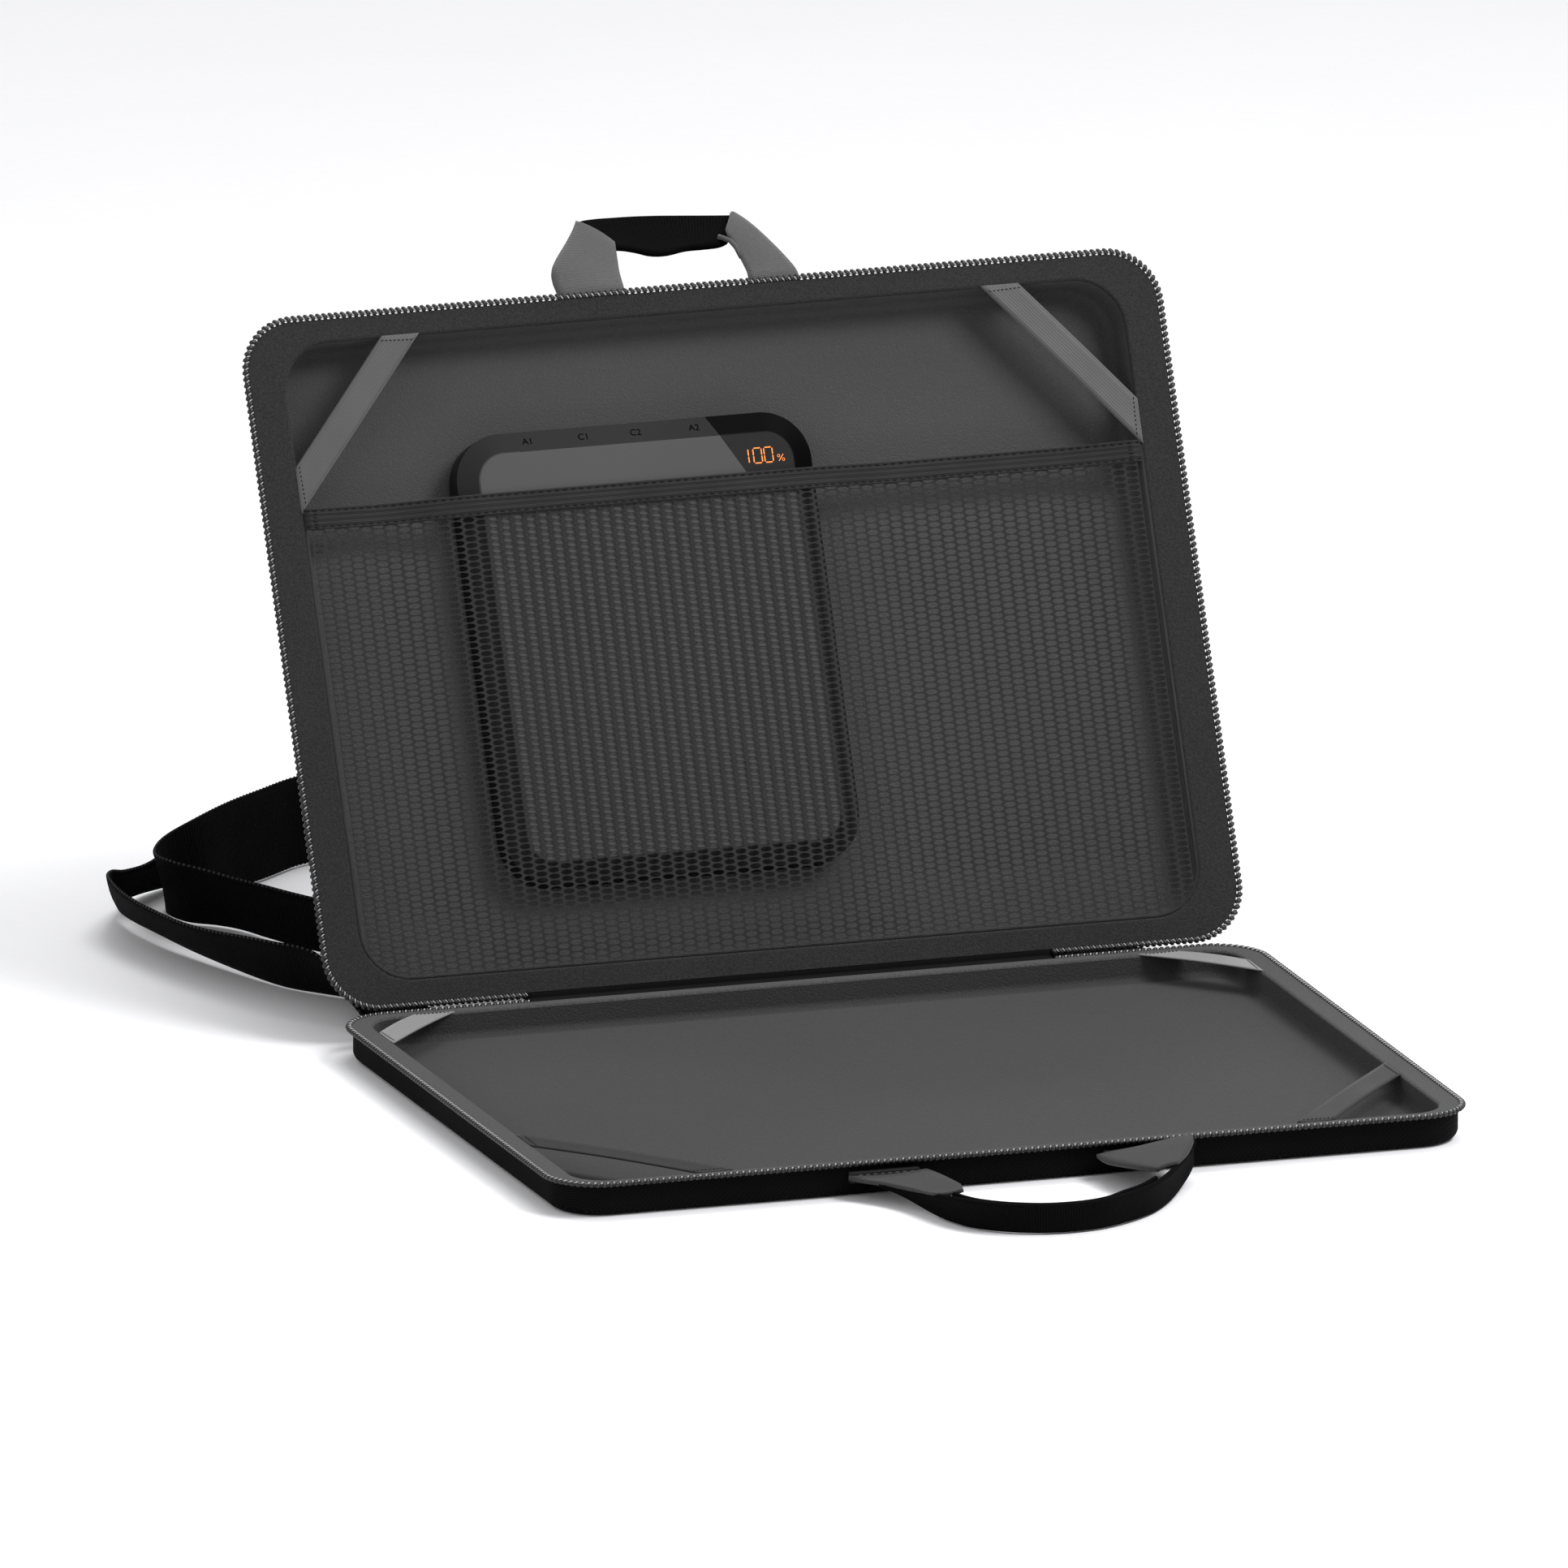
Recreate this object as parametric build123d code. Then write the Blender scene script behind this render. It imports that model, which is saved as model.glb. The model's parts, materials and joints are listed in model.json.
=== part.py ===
from build123d import *
import math
import os

# Zip-around carrying case for a thin computer, stood open: a shallow tray below, a lid with a
# mesh pocket and an energy store, and a flat photovoltaic panel on the lid's outer face.
# Millimetres. X to the right, Y towards the spine, Z up. The origin is the centre of the
# tray's underside. The spine's hinge line is at Y = DEPTH / 2, Z = TRAY_H.

# Whole case
WIDTH = 390.0
DEPTH = 284.0
CORNER_R = 23.0
TRAY_H = 15.0
LID_H = 22.0
LID_OPEN = 114.75

# Rim, counted from the plane where the two rims meet
COIL_W = 2.4
COIL_NEAR = 0.2
COIL_FAR = 2.6
FLANGE_NEAR = 1.0
FLANGE_FAR = 2.0
TAPE_INSET = 2.5
SHELL_INSET = 3.0
SPINE_HALF = 112.0

# Tray
TRAY_WALL = 2.5
TRAY_FLOOR = 1.2
BOARD_T = 0.9
TRAY_RECESS_W = 367.0
TRAY_RECESS_D = 268.0
TRAY_RECESS_R = 14.0
TRAY_RECESS_Z = 3.0
MOUTH_R = 1.5
TRAY_EDGE_R = 4.5

# Lid
LID_WALL = 2.2
LID_DRAFT = 10.0
LID_EDGE_R = 8.0
LID_RECESS_W = 355.0
LID_RECESS_D = 260.0
LID_RECESS_R = 20.0
LID_RECESS_H = 18.5

# Mesh pocket, heights counted up the lid from the hinge line
POCKET_TOP = 197.0
HEM_H = 8.5
MESH_NEAR = 1.2
MESH_FAR = 1.7

# Elastic corner bands
BAND_W = 12.0
BAND_T = 0.6
BAND_NEAR = 0.35

# Energy store
BANK_W = 150.0
BANK_L = 184.0
BANK_X = -35.0
BANK_V = 138.0
BANK_R = 20.0
BANK_BACK = 18.4
BANK_SPLIT = 9.5
BANK_STEP = 5.4
BANK_FRONT = 2.1
BANK_WALL = 2.0
BANK_CHAMFER = 9.0
PORT_H = 13.4
PORT_X = (-78.6, -54.9, -32.9, -8.1)

# Photovoltaic panel
PV_W = 342.0
PV_D = 238.0
PV_BACK_T = 0.8
PV_CELL_T = 0.25
PV_FILM_T = 0.3
PV_COLS = 5
PV_ROWS = 4
PV_BORDER = 9.0
PV_BOX_V = 240.0

# Carrying handles
HANDLE_LEAN = 36.0
HANDLE_PIVOT_V = 285.7
HANDLE_PIVOT_H = 7.0
TRAY_HANDLE_Z = 8.5

# Slide fasteners, parked on the spine
SLIDER_X = 119.5
SLIDER_W = 9.0

# Shoulder strap
STRAP_T = 1.8
RING_X = 151.0
RING_Y = 13.0


def rounded(w, d, r, z0, z1, taper=0.0):
    """A rounded block centred on X = 0, Y = 0, from z0 to z1."""
    return Pos(0, 0, z0) * extrude(RectangleRounded(w, d, r), z1 - z0, taper=taper)


def box(x0, x1, y0, y1, z0, z1):
    """A box given by its limits."""
    size = Box(x1 - x0, y1 - y0, z1 - z0)
    return Pos((x0 + x1) / 2, (y0 + y1) / 2, (z0 + z1) / 2) * size


def prism(points, z0, z1):
    """A closed outline extruded from z0 to z1."""
    face = make_face(Polyline(*points, close=True))
    return Pos(0, 0, z0) * extrude(face, z1 - z0)


def end_edges(solid, last):
    """The edges at one end of a block along Z."""
    groups = solid.edges().group_by(Axis.Z)
    if last:
        return groups[-1]
    return groups[0]


def from_spine(shape):
    """Places a piece drawn about the hinge line with the case closed: the tray's side."""
    return Pos(0, DEPTH / 2, TRAY_H) * shape


def on_lid(shape):
    """Places a piece drawn about the hinge line with the case closed: turned with the lid."""
    return Location((0, DEPTH / 2, TRAY_H), (-LID_OPEN, 0, 0)) * shape


def to_middle(shape):
    """Moves a piece from the case's middle to the hinge line's frame."""
    return Pos(0, -DEPTH / 2, 0) * shape


def ring(outer_inset, inner_inset, z0, z1):
    """A rim-shaped ring between two insets."""
    parts = []
    for inset in (outer_inset, inner_inset):
        w = WIDTH - 2 * inset
        d = DEPTH - 2 * inset
        parts.append(rounded(w, d, CORNER_R - inset, z0, z1))
    return to_middle(parts[0] - parts[1])


def spine_zone(z0, z1):
    """The middle stretch of the spine, which has no coil."""
    return box(-SPINE_HALF, SPINE_HALF, -2 * COIL_W, 1, z0, z1)


def lid_shell():
    h = LID_H - COIL_FAR
    w = WIDTH - 2 * SHELL_INSET
    d = DEPTH - 2 * SHELL_INSET
    r = CORNER_R - SHELL_INSET
    outer = rounded(w, d, r, COIL_FAR, COIL_FAR + h, LID_DRAFT)
    outer = fillet(end_edges(outer, True), LID_EDGE_R)
    t = LID_WALL
    cavity = rounded(w - 2 * t, d - 2 * t, r - t, COIL_FAR, LID_H - 2.0, LID_DRAFT)
    cavity = fillet(end_edges(cavity, True), LID_EDGE_R - t)
    return to_middle(outer - cavity)


def soften_mouth(solid, w, d, z):
    """Rounds the edge where a lining turns down into its recess."""
    mouth = [
        e for e in solid.edges()
        if abs(e.center().Z - z) < 0.01 and abs(e.bounding_box().size.Z) < 0.01
        and abs(e.center().X) <= w / 2 + 0.1 and abs(e.center().Y) <= d / 2 + 0.1
    ]
    return fillet(mouth, MOUTH_R)


def lid_liner():
    w = WIDTH - 2 * SHELL_INSET - 2 * LID_WALL - 0.3
    d = DEPTH - 2 * SHELL_INSET - 2 * LID_WALL - 0.3
    r = CORNER_R - SHELL_INSET - LID_WALL
    block = rounded(w, d, r, FLANGE_FAR, LID_H - 2.2, LID_DRAFT)
    block = fillet(end_edges(block, True), LID_EDGE_R - LID_WALL)
    inset = TAPE_INSET
    flange = rounded(WIDTH - 2 * inset, DEPTH - 2 * inset, CORNER_R - inset, FLANGE_NEAR, FLANGE_FAR)
    recess = rounded(LID_RECESS_W, LID_RECESS_D, LID_RECESS_R, 0, LID_RECESS_H)
    recess = fillet(end_edges(recess, True), 4.0)
    whole = block + flange - recess
    return to_middle(soften_mouth(whole, LID_RECESS_W, LID_RECESS_D, FLANGE_NEAR))


def tray_shell():
    w = WIDTH - 2 * SHELL_INSET
    d = DEPTH - 2 * SHELL_INSET
    r = CORNER_R - SHELL_INSET
    outer = rounded(w, d, r, 0, TRAY_H - COIL_FAR)
    outer = fillet(end_edges(outer, False), TRAY_EDGE_R)
    t = TRAY_WALL
    cavity = rounded(w - 2 * t, d - 2 * t, r - t, TRAY_FLOOR, TRAY_H)
    cavity = fillet(end_edges(cavity, False), TRAY_EDGE_R - t)
    return outer - cavity


def tray_board():
    inset = SHELL_INSET + TRAY_WALL + 3.0
    z0 = TRAY_FLOOR + 0.05
    return rounded(WIDTH - 2 * inset, DEPTH - 2 * inset, 14.0, z0, z0 + BOARD_T - 0.1)


def tray_liner():
    inset = SHELL_INSET + TRAY_WALL + 0.15
    z0 = TRAY_FLOOR + BOARD_T
    block = rounded(WIDTH - 2 * inset, DEPTH - 2 * inset, 17.3, z0, TRAY_H - FLANGE_FAR)
    block = fillet(end_edges(block, False), TRAY_EDGE_R - TRAY_WALL + 1.0)
    inset = TAPE_INSET
    low = TRAY_H - FLANGE_FAR
    high = TRAY_H - FLANGE_NEAR
    flange = rounded(WIDTH - 2 * inset, DEPTH - 2 * inset, CORNER_R - inset, low, high)
    recess = rounded(TRAY_RECESS_W, TRAY_RECESS_D, TRAY_RECESS_R, TRAY_RECESS_Z, TRAY_H)
    recess = fillet(end_edges(recess, False), 3.0)
    whole = block + flange - recess
    return soften_mouth(whole, TRAY_RECESS_W, TRAY_RECESS_D, high)


def coil(z0, z1):
    """One row of the zip's coil, which stops short of the middle of the spine."""
    return ring(0, COIL_W, z0, z1) - spine_zone(z0 - 1, z1 + 1)


def tape(z0, z1):
    """The woven tape between the coil and the shell."""
    return ring(TAPE_INSET, SHELL_INSET + LID_WALL, z0, z1)


def spine_strip(z0, z1):
    """Half of the fabric strip that joins the two rims along the spine."""
    half = SPINE_HALF - 0.3
    return box(-half, half, -COIL_W, -0.2, z0, z1)


def band(x0, y0, x1, y1, z0, z1):
    """A flat elastic band between two points."""
    length = math.hypot(x1 - x0, y1 - y0)
    angle = math.degrees(math.atan2(y1 - y0, x1 - x0))
    flat = Box(length, BAND_W, z1 - z0)
    return Pos((x0 + x1) / 2, (y0 + y1) / 2, (z0 + z1) / 2) * Rot(0, 0, angle) * flat


def bank_block(w, l, r, h0, h1, taper=0.0):
    """A rounded block on the energy store's own centre, in the lid's frame."""
    return Pos(BANK_X, -BANK_V, 0) * rounded(w, l, r, h0, h1, taper)


def port_hole(x, wide, high):
    """The space one socket takes in the energy store's upper wall."""
    top = BANK_V + BANK_L / 2
    return box(x - wide / 2, x + wide / 2, -top - 1, -top + 12, PORT_H - high / 2, PORT_H + high / 2)


def port_holes(slack):
    """All four sockets' spaces, two wide and two narrow."""
    holes = []
    for i, x in enumerate(PORT_X):
        wide, high = (13.4, 5.8) if i in (0, 3) else (9.4, 3.6)
        holes.append(port_hole(x, wide + slack, high + slack))
    return holes


def bank_back():
    body = bank_block(BANK_W, BANK_L, BANK_R, BANK_SPLIT, BANK_BACK)
    body = fillet(end_edges(body, True), 3.0)
    w = BANK_W - 2 * BANK_WALL
    l = BANK_L - 2 * BANK_WALL
    body = body - bank_block(w, l, BANK_R - BANK_WALL, BANK_SPLIT - 1, BANK_BACK - BANK_WALL)
    for hole in port_holes(0.1):
        body = body - hole
    return body


def bank_front_whole():
    """The front cover before its corner panel and port strip are let in."""
    rim = bank_block(BANK_W, BANK_L, BANK_R, BANK_STEP, BANK_SPLIT - 0.1)
    rise = BANK_STEP - BANK_FRONT
    angle = math.degrees(math.atan(BANK_CHAMFER / rise))
    slope = extrude(RectangleRounded(BANK_W, BANK_L, BANK_R), rise, taper=angle)
    slope = Pos(BANK_X, -BANK_V, BANK_STEP) * Rot(180, 0, 0) * slope
    w = BANK_W - 2 * BANK_WALL
    l = BANK_L - 2 * BANK_WALL
    hollow = bank_block(w, l, BANK_R - BANK_WALL, BANK_STEP + 1.2, BANK_SPLIT + 1)
    return rim + slope - hollow


def corner_zone():
    """Outline of the glossy corner panel, its lower left edge cut on the slant."""
    outline = [(-4, -233), (43, -233), (43, -203), (12.5, -203), (2.5, -220)]
    return prism(outline, 0, BANK_STEP + 0.6)


def strip_zone():
    """Outline of the darker strip over the sockets."""
    outline = [(-96.1, -233), (-4.2, -233), (1.5, -221.5), (-82.7, -221.5)]
    return prism(outline, 0, BANK_STEP + 0.6)


def segment_digit(x, v, strokes):
    """A seven-stroke numeral standing 0.12 off the window."""
    w, h, s = 4.4, 8.2, 0.85
    places = {
        "top": (x, x + w, v + h - s, v + h),
        "bottom": (x, x + w, v, v + s),
        "left": (x, x + s, v + s, v + h - s),
        "right": (x + w - s, x + w, v + s, v + h - s),
    }
    out = Part()
    for name in strokes:
        x0, x1, v0, v1 = places[name]
        out = out + box(x0, x1, -v1, -v0, BANK_FRONT - 0.12, BANK_FRONT - 0.01)
    return out


def bank_display():
    one = segment_digit(7.2, 209.0, ["right"])
    zero_a = segment_digit(13.2, 209.0, ["top", "bottom", "left", "right"])
    zero_b = segment_digit(19.2, 209.0, ["top", "bottom", "left", "right"])
    low = BANK_FRONT - 0.12
    high = BANK_FRONT - 0.01
    slash = Pos(26.3, -211.2, (low + high) / 2) * Rot(0, 0, -60) * Box(3.6, 0.5, high - low)
    dot_a = box(24.9, 25.8, -213.3, -212.2, low, high)
    dot_b = box(26.8, 27.7, -210.1, -209.0, low, high)
    return one + zero_a + zero_b + slash + dot_a + dot_b


def bank_sockets(wide, high, indices):
    """Metal socket shells, open at the top edge, each with its tongue."""
    out = Part()
    for i in indices:
        x = PORT_X[i]
        body = port_hole(x, wide, high)
        top = BANK_V + BANK_L / 2
        body = body - box(x - wide, x + wide, -top - 2, -top + 0.4, 0, 30)
        mouth = box(x - wide / 2 + 0.5, x + wide / 2 - 0.5, -top - 1, -top + 10,
                    PORT_H - high / 2 + 0.5, PORT_H + high / 2 - 0.5)
        tongue = box(x - wide / 2 + 1.6, x + wide / 2 - 1.6, -top + 1.4, -top + 10.5,
                     PORT_H - 0.4, PORT_H + 0.4)
        out = out + (body - mouth + tongue)
    return out


def bank_cells():
    """Two flat pouch cells side by side."""
    low = BANK_STEP + 1.6
    high = BANK_BACK - BANK_WALL - 0.3
    y0 = -(BANK_V + BANK_L / 2) + 46
    y1 = y0 + 128
    left = box(BANK_X - 69, BANK_X - 1, y0, y1, low, high)
    right = box(BANK_X + 1, BANK_X + 69, y0, y1, low, high)
    return left + right


def bank_board():
    y0 = -(BANK_V + BANK_L / 2) + 13
    return box(BANK_X - 62, BANK_X + 62, y0, y0 + 28, PORT_H - 3.6 - 1.6, PORT_H - 3.6)


def pv_cells():
    """A grid of cells, each with clipped corners."""
    inner_w = PV_W - 2 * PV_BORDER - 4
    inner_d = PV_D - 2 * PV_BORDER - 4
    pitch_x = inner_w / PV_COLS
    pitch_y = inner_d / PV_ROWS
    cell = RectangleRounded(pitch_x - 2, pitch_y - 2, 1.0)
    z0 = LID_H + PV_BACK_T + 0.02
    out = Part()
    for i in range(PV_COLS):
        for j in range(PV_ROWS):
            x = (i - (PV_COLS - 1) / 2) * pitch_x
            y = (j - (PV_ROWS - 1) / 2) * pitch_y
            out = out + Pos(x, y, z0) * extrude(cell, PV_CELL_T)
    return to_middle(out)


def pv_border():
    z0 = LID_H + PV_BACK_T + 0.02
    outer = rounded(PV_W, PV_D, 12, z0, z0 + 0.9)
    inner = rounded(PV_W - 2 * PV_BORDER, PV_D - 2 * PV_BORDER, 5, z0 - 1, z0 + 2)
    return to_middle(outer - inner)


def pv_film():
    z0 = LID_H + PV_BACK_T + PV_CELL_T + 0.04
    inset = PV_BORDER + 0.2
    return to_middle(rounded(PV_W - 2 * inset, PV_D - 2 * inset, 4.8, z0, z0 + PV_FILM_T))


def pv_box():
    z0 = LID_H + PV_BACK_T + PV_CELL_T + PV_FILM_T + 0.06
    block = Pos(0, -PV_BOX_V, z0) * extrude(RectangleRounded(56, 20, 4), 5.0)
    block = fillet(end_edges(block, True), 1.5)
    hole = box(-4.9, 4.9, -PV_BOX_V - 11, -PV_BOX_V, z0 + 0.9, z0 + 4.3)
    return block - hole


def pv_socket():
    z0 = LID_H + PV_BACK_T + PV_CELL_T + PV_FILM_T + 0.96
    body = box(-4.8, 4.8, -9.5, -0.2, z0 + 0.05, z0 + 3.3)
    mouth = box(-4.3, 4.3, -10, -2, z0 + 0.5, z0 + 2.9)
    tongue = box(-3.2, 3.2, -8.5, -1.5, z0 + 1.4, z0 + 2.0)
    return Pos(0, -PV_BOX_V, 0) * (body - mouth + tongue)


def fold(x0, x1, y, z, radius):
    """The rounded fold where webbing turns about its seam, along X."""
    return Pos((x0 + x1) / 2, y, z) * Rot(0, 90, 0) * Cylinder(radius, x1 - x0)


def lid_handle():
    """An arch of webbing, drawn flat, then leaned outwards from the lid."""
    outer = [(-57, 0), (-48, -30), (-37, -42), (-6, -47), (20, -42), (37, -25), (45, 0)]
    inner = [(24, 0), (20, -16), (11, -28), (-5, -31), (-20, -29), (-27, -20), (-29, 0)]
    flat = prism(outer + inner, -1.2, 1.2)
    flat = flat + fold(-57, -29, 0, 0, 1.2) + fold(24, 45, 0, 0, 1.2)
    return Pos(0, -HANDLE_PIVOT_V, HANDLE_PIVOT_H) * Rot(-HANDLE_LEAN, 0, 0) * flat


def lid_handle_anchors():
    out = Part()
    for x0, x1 in ((-57, -29), (24, 45)):
        out = out + box(x0, x1, -284.2, -280.62, HANDLE_PIVOT_H - 2, HANDLE_PIVOT_H + 2)
    return out


def tray_handle():
    """Two flat legs and a folded grip that lies on its edge."""
    z = TRAY_HANDLE_Z
    y0 = -DEPTH / 2 - 1.6
    left = prism([(-72, y0), (-43, y0), (-44, y0 - 32), (-57, y0 - 32)], z - 0.9, z + 0.9)
    left = left + fold(-72, -43, y0, z, 0.9)
    right = prism([(36, y0), (65, y0), (60, y0 - 30), (48, y0 - 30)], z - 0.9, z + 0.9)
    right = right + fold(36, 65, y0, z, 0.9)
    outer = [(-57, -172), (-49, -194), (-20, -212), (26, -209), (53, -190), (60, -168)]
    inner = [(52, -168), (46, -187), (22, -202), (-17, -205), (-43, -189), (-49, -172)]
    grip = prism(outer + inner, 0.4, 12.4)
    return left + right + grip


def tray_handle_anchors():
    z = TRAY_HANDLE_Z
    y1 = -DEPTH / 2 + SHELL_INSET
    out = Part()
    for x0, x1 in ((-72, -43), (36, 65)):
        out = out + box(x0, x1, -DEPTH / 2 - 0.5, y1 - 0.02, z - 2, z + 2)
    return out


def slider(side):
    """A zip slider's body and the small bridge that holds its pull."""
    x = side * SLIDER_X
    body = from_spine(box(x - SLIDER_W / 2, x + SLIDER_W / 2, 0.3, 3.6, -6.6, -2.4))
    post_a = from_spine(box(x - 3.4, x - 2.2, 3.6, 6.0, -6.2, -5.6))
    post_b = from_spine(box(x - 3.4, x - 2.2, 3.6, 6.0, -3.2, -2.6))
    pin = from_spine(Pos(x - 2.8, 5.2, -4.4) * Cylinder(0.5, 3.0))
    return body + post_a + post_b + pin


def pull(side):
    """A zip pull that lies along the spine and turns on the slider's pin."""
    x = side * SLIDER_X - 2.8
    arm = from_spine(box(x - 22 if side > 0 else x - 1.0, x + 1.0 if side > 0 else x + 22,
                         4.2, 6.2, -5.3, -3.5))
    hole = from_spine(Pos(x, 5.2, -4.4) * Cylinder(0.56, 6.0))
    return arm - hole


def d_ring(side):
    """A flat ring of round wire that lies on the ground behind the spine."""
    outer = extrude(RectangleRounded(52, 15, 6), 2.6)
    inner = extrude(RectangleRounded(46, 9, 3.2), 2.6)
    flat = fillet((outer - inner).edges(), 0.7)
    return Pos(side * RING_X, DEPTH / 2 + RING_Y, 1.0) * flat


def ring_tab(side):
    """The stitched tab that holds the ring to the tray's rear wall."""
    y0 = DEPTH / 2 - SHELL_INSET + 0.02
    body = box(-18, 18, y0, DEPTH / 2 + RING_Y - 3.4, 0.3, 4.3)
    body = Pos(side * RING_X, 0, 0) * body
    slot = box(-22, 22, DEPTH / 2 + RING_Y - 7.7, DEPTH / 2 + RING_Y - 4.2, 0.85, 3.75)
    return body - Pos(side * RING_X, 0, 0) * slot


def strap_end(side):
    """The strap's folded end around the ring's far bar."""
    y1 = DEPTH / 2 + 27.0
    body = Pos(side * RING_X, 0, 0) * box(-19, 19, DEPTH / 2 + RING_Y + 3.4, y1, 0.3, 4.3)
    slot = box(-22, 22, DEPTH / 2 + RING_Y + 4.2, DEPTH / 2 + RING_Y + 7.7, 0.85, 3.75)
    return body - Pos(side * RING_X, 0, 0) * slot


def strap_route():
    """Stations of the strap: its upper edge and lower edge, Y counted from the hinge line."""
    return [
        ((-170, 27.3, 2.3), (-132, 27.3, 2.3)),
        ((-171, 33, 6), (-135, 42, 1.2)),
        ((-176, 42, 14), (-147, 60, 1.2)),
        ((-182, 57, 25), (-168, 83, 1.2)),
        ((-196, 78, 26), (-182, 104, 1.2)),
        ((-212, 118, 23), (-197, 147, 3)),
        ((-220, 152, 23), (-206, 181, 5)),
        ((-223, 174, 24), (-209, 204, 5)),
        ((-222, 194, 25), (-207, 224, 4)),
        ((-216, 208, 24), (-199, 240, 3)),
        ((-206, 219, 20.5), (-188, 252, 2)),
        ((-190, 232, 20), (-174, 262, 1.2)),
        ((-166, 253, 26), (-154, 275, 1.2)),
        ((-140, 271, 30), (-131, 286, 1.2)),
        ((-115, 289, 31), (-109, 299, 1.2)),
        ((-95, 304, 34), (-93, 309, 1.2)),
        ((-77, 306, 38), (-77, 306, 1.2)),
        ((-74, 293, 38), (-74, 293, 1.2)),
        ((-88, 284, 38), (-87, 285, 1.2)),
        ((-114, 275, 38), (-111, 278, 1.2)),
        ((-135, 260, 38), (-131, 263, 1.2)),
        ((-154, 245, 38), (-149, 250, 1.2)),
        ((-172, 230, 37), (-165, 238, 1.2)),
        ((-190, 219, 33), (-179, 237, 1.2)),
        ((-199, 204, 31), (-187, 222, 1.2)),
        ((-197, 189, 31), (-184, 207, 1.2)),
        ((-188, 177, 30), (-174, 198, 1.2)),
        ((-180, 165, 29), (-167, 188, 1.2)),
        ((-172, 149, 29), (-161, 172, 1.2)),
        ((-160, 125, 29), (-150, 148, 1.2)),
        ((-143, 101, 29), (-132, 124, 1.2)),
        ((-116, 80, 27), (-106, 105, 1.2)),
        ((-76, 64, 25), (-69, 92, 1.2)),
        ((-25, 54, 22), (-21, 85, 1.2)),
        ((32, 46, 19), (35, 79, 1.2)),
        ((84, 41, 14), (90, 76, 1.2)),
        ((117, 38, 8), (135, 70, 1.2)),
        ((129, 33, 4), (163, 48, 1.2)),
        ((132, 27.3, 2.3), (170, 27.3, 2.3)),
    ]


def triangle(a, b, c):
    """A flat three-sided face."""
    return Face(Wire.make_polygon([a, b, c], close=True))


def skin(sections):
    """Flat faces that close a four-sided tube through the given sections."""
    faces = []
    for one, two in zip(sections, sections[1:]):
        for k in range(4):
            n = (k + 1) % 4
            faces.append(triangle(one[k], one[n], two[n]))
            faces.append(triangle(one[k], two[n], two[k]))
    for end in (sections[0], sections[-1]):
        faces.append(triangle(end[0], end[1], end[2]))
        faces.append(triangle(end[0], end[2], end[3]))
    return faces


def strap():
    """Ribbed webbing on its edge, from one ring round two nested loops to the other."""
    route = strap_route()
    tops = [Vector(*a) + Vector(0, DEPTH / 2, 0) for a, b in route]
    lows = [Vector(*b) + Vector(0, DEPTH / 2, 0) for a, b in route]
    mids = [(a + b) * 0.5 for a, b in zip(tops, lows)]
    sections = []
    for i in range(len(mids)):
        before = mids[max(i - 1, 0)]
        after = mids[min(i + 1, len(mids) - 1)]
        along = (after - before).normalized()
        across = (tops[i] - lows[i]).normalized()
        out = along.cross(across).normalized() * (STRAP_T / 2)
        sections.append([lows[i] - out, lows[i] + out, tops[i] + out, tops[i] - out])
    return Solid(Shell(skin(sections)))


def mesh_pocket():
    low = DEPTH / 2 - LID_RECESS_D / 2
    half = LID_RECESS_W / 2 - 0.2
    sheet = to_middle(rounded(2 * half, LID_RECESS_D - 0.4, LID_RECESS_R - 0.2, MESH_NEAR, MESH_FAR))
    return sheet & box(-half, half, -POCKET_TOP, -low, 0, 5)


def pocket_hem():
    half = LID_RECESS_W / 2 - 0.2
    bar = box(-half, half, -POCKET_TOP - HEM_H, -POCKET_TOP - 0.02, MESH_NEAR - 0.15, MESH_FAR + 0.25)
    return fillet(bar.edges().filter_by(Axis.X), 0.35)


def lid_band(side):
    return band(side * 125, -275, side * 182.5, -208, BAND_NEAR, BAND_NEAR + BAND_T)


def tray_band(x0, y0, x1, y1):
    """Bands over the tray, drawn about the hinge line."""
    return from_spine(band(x0, y0, x1, y1, -BAND_NEAR - BAND_T, -BAND_NEAR))


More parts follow.
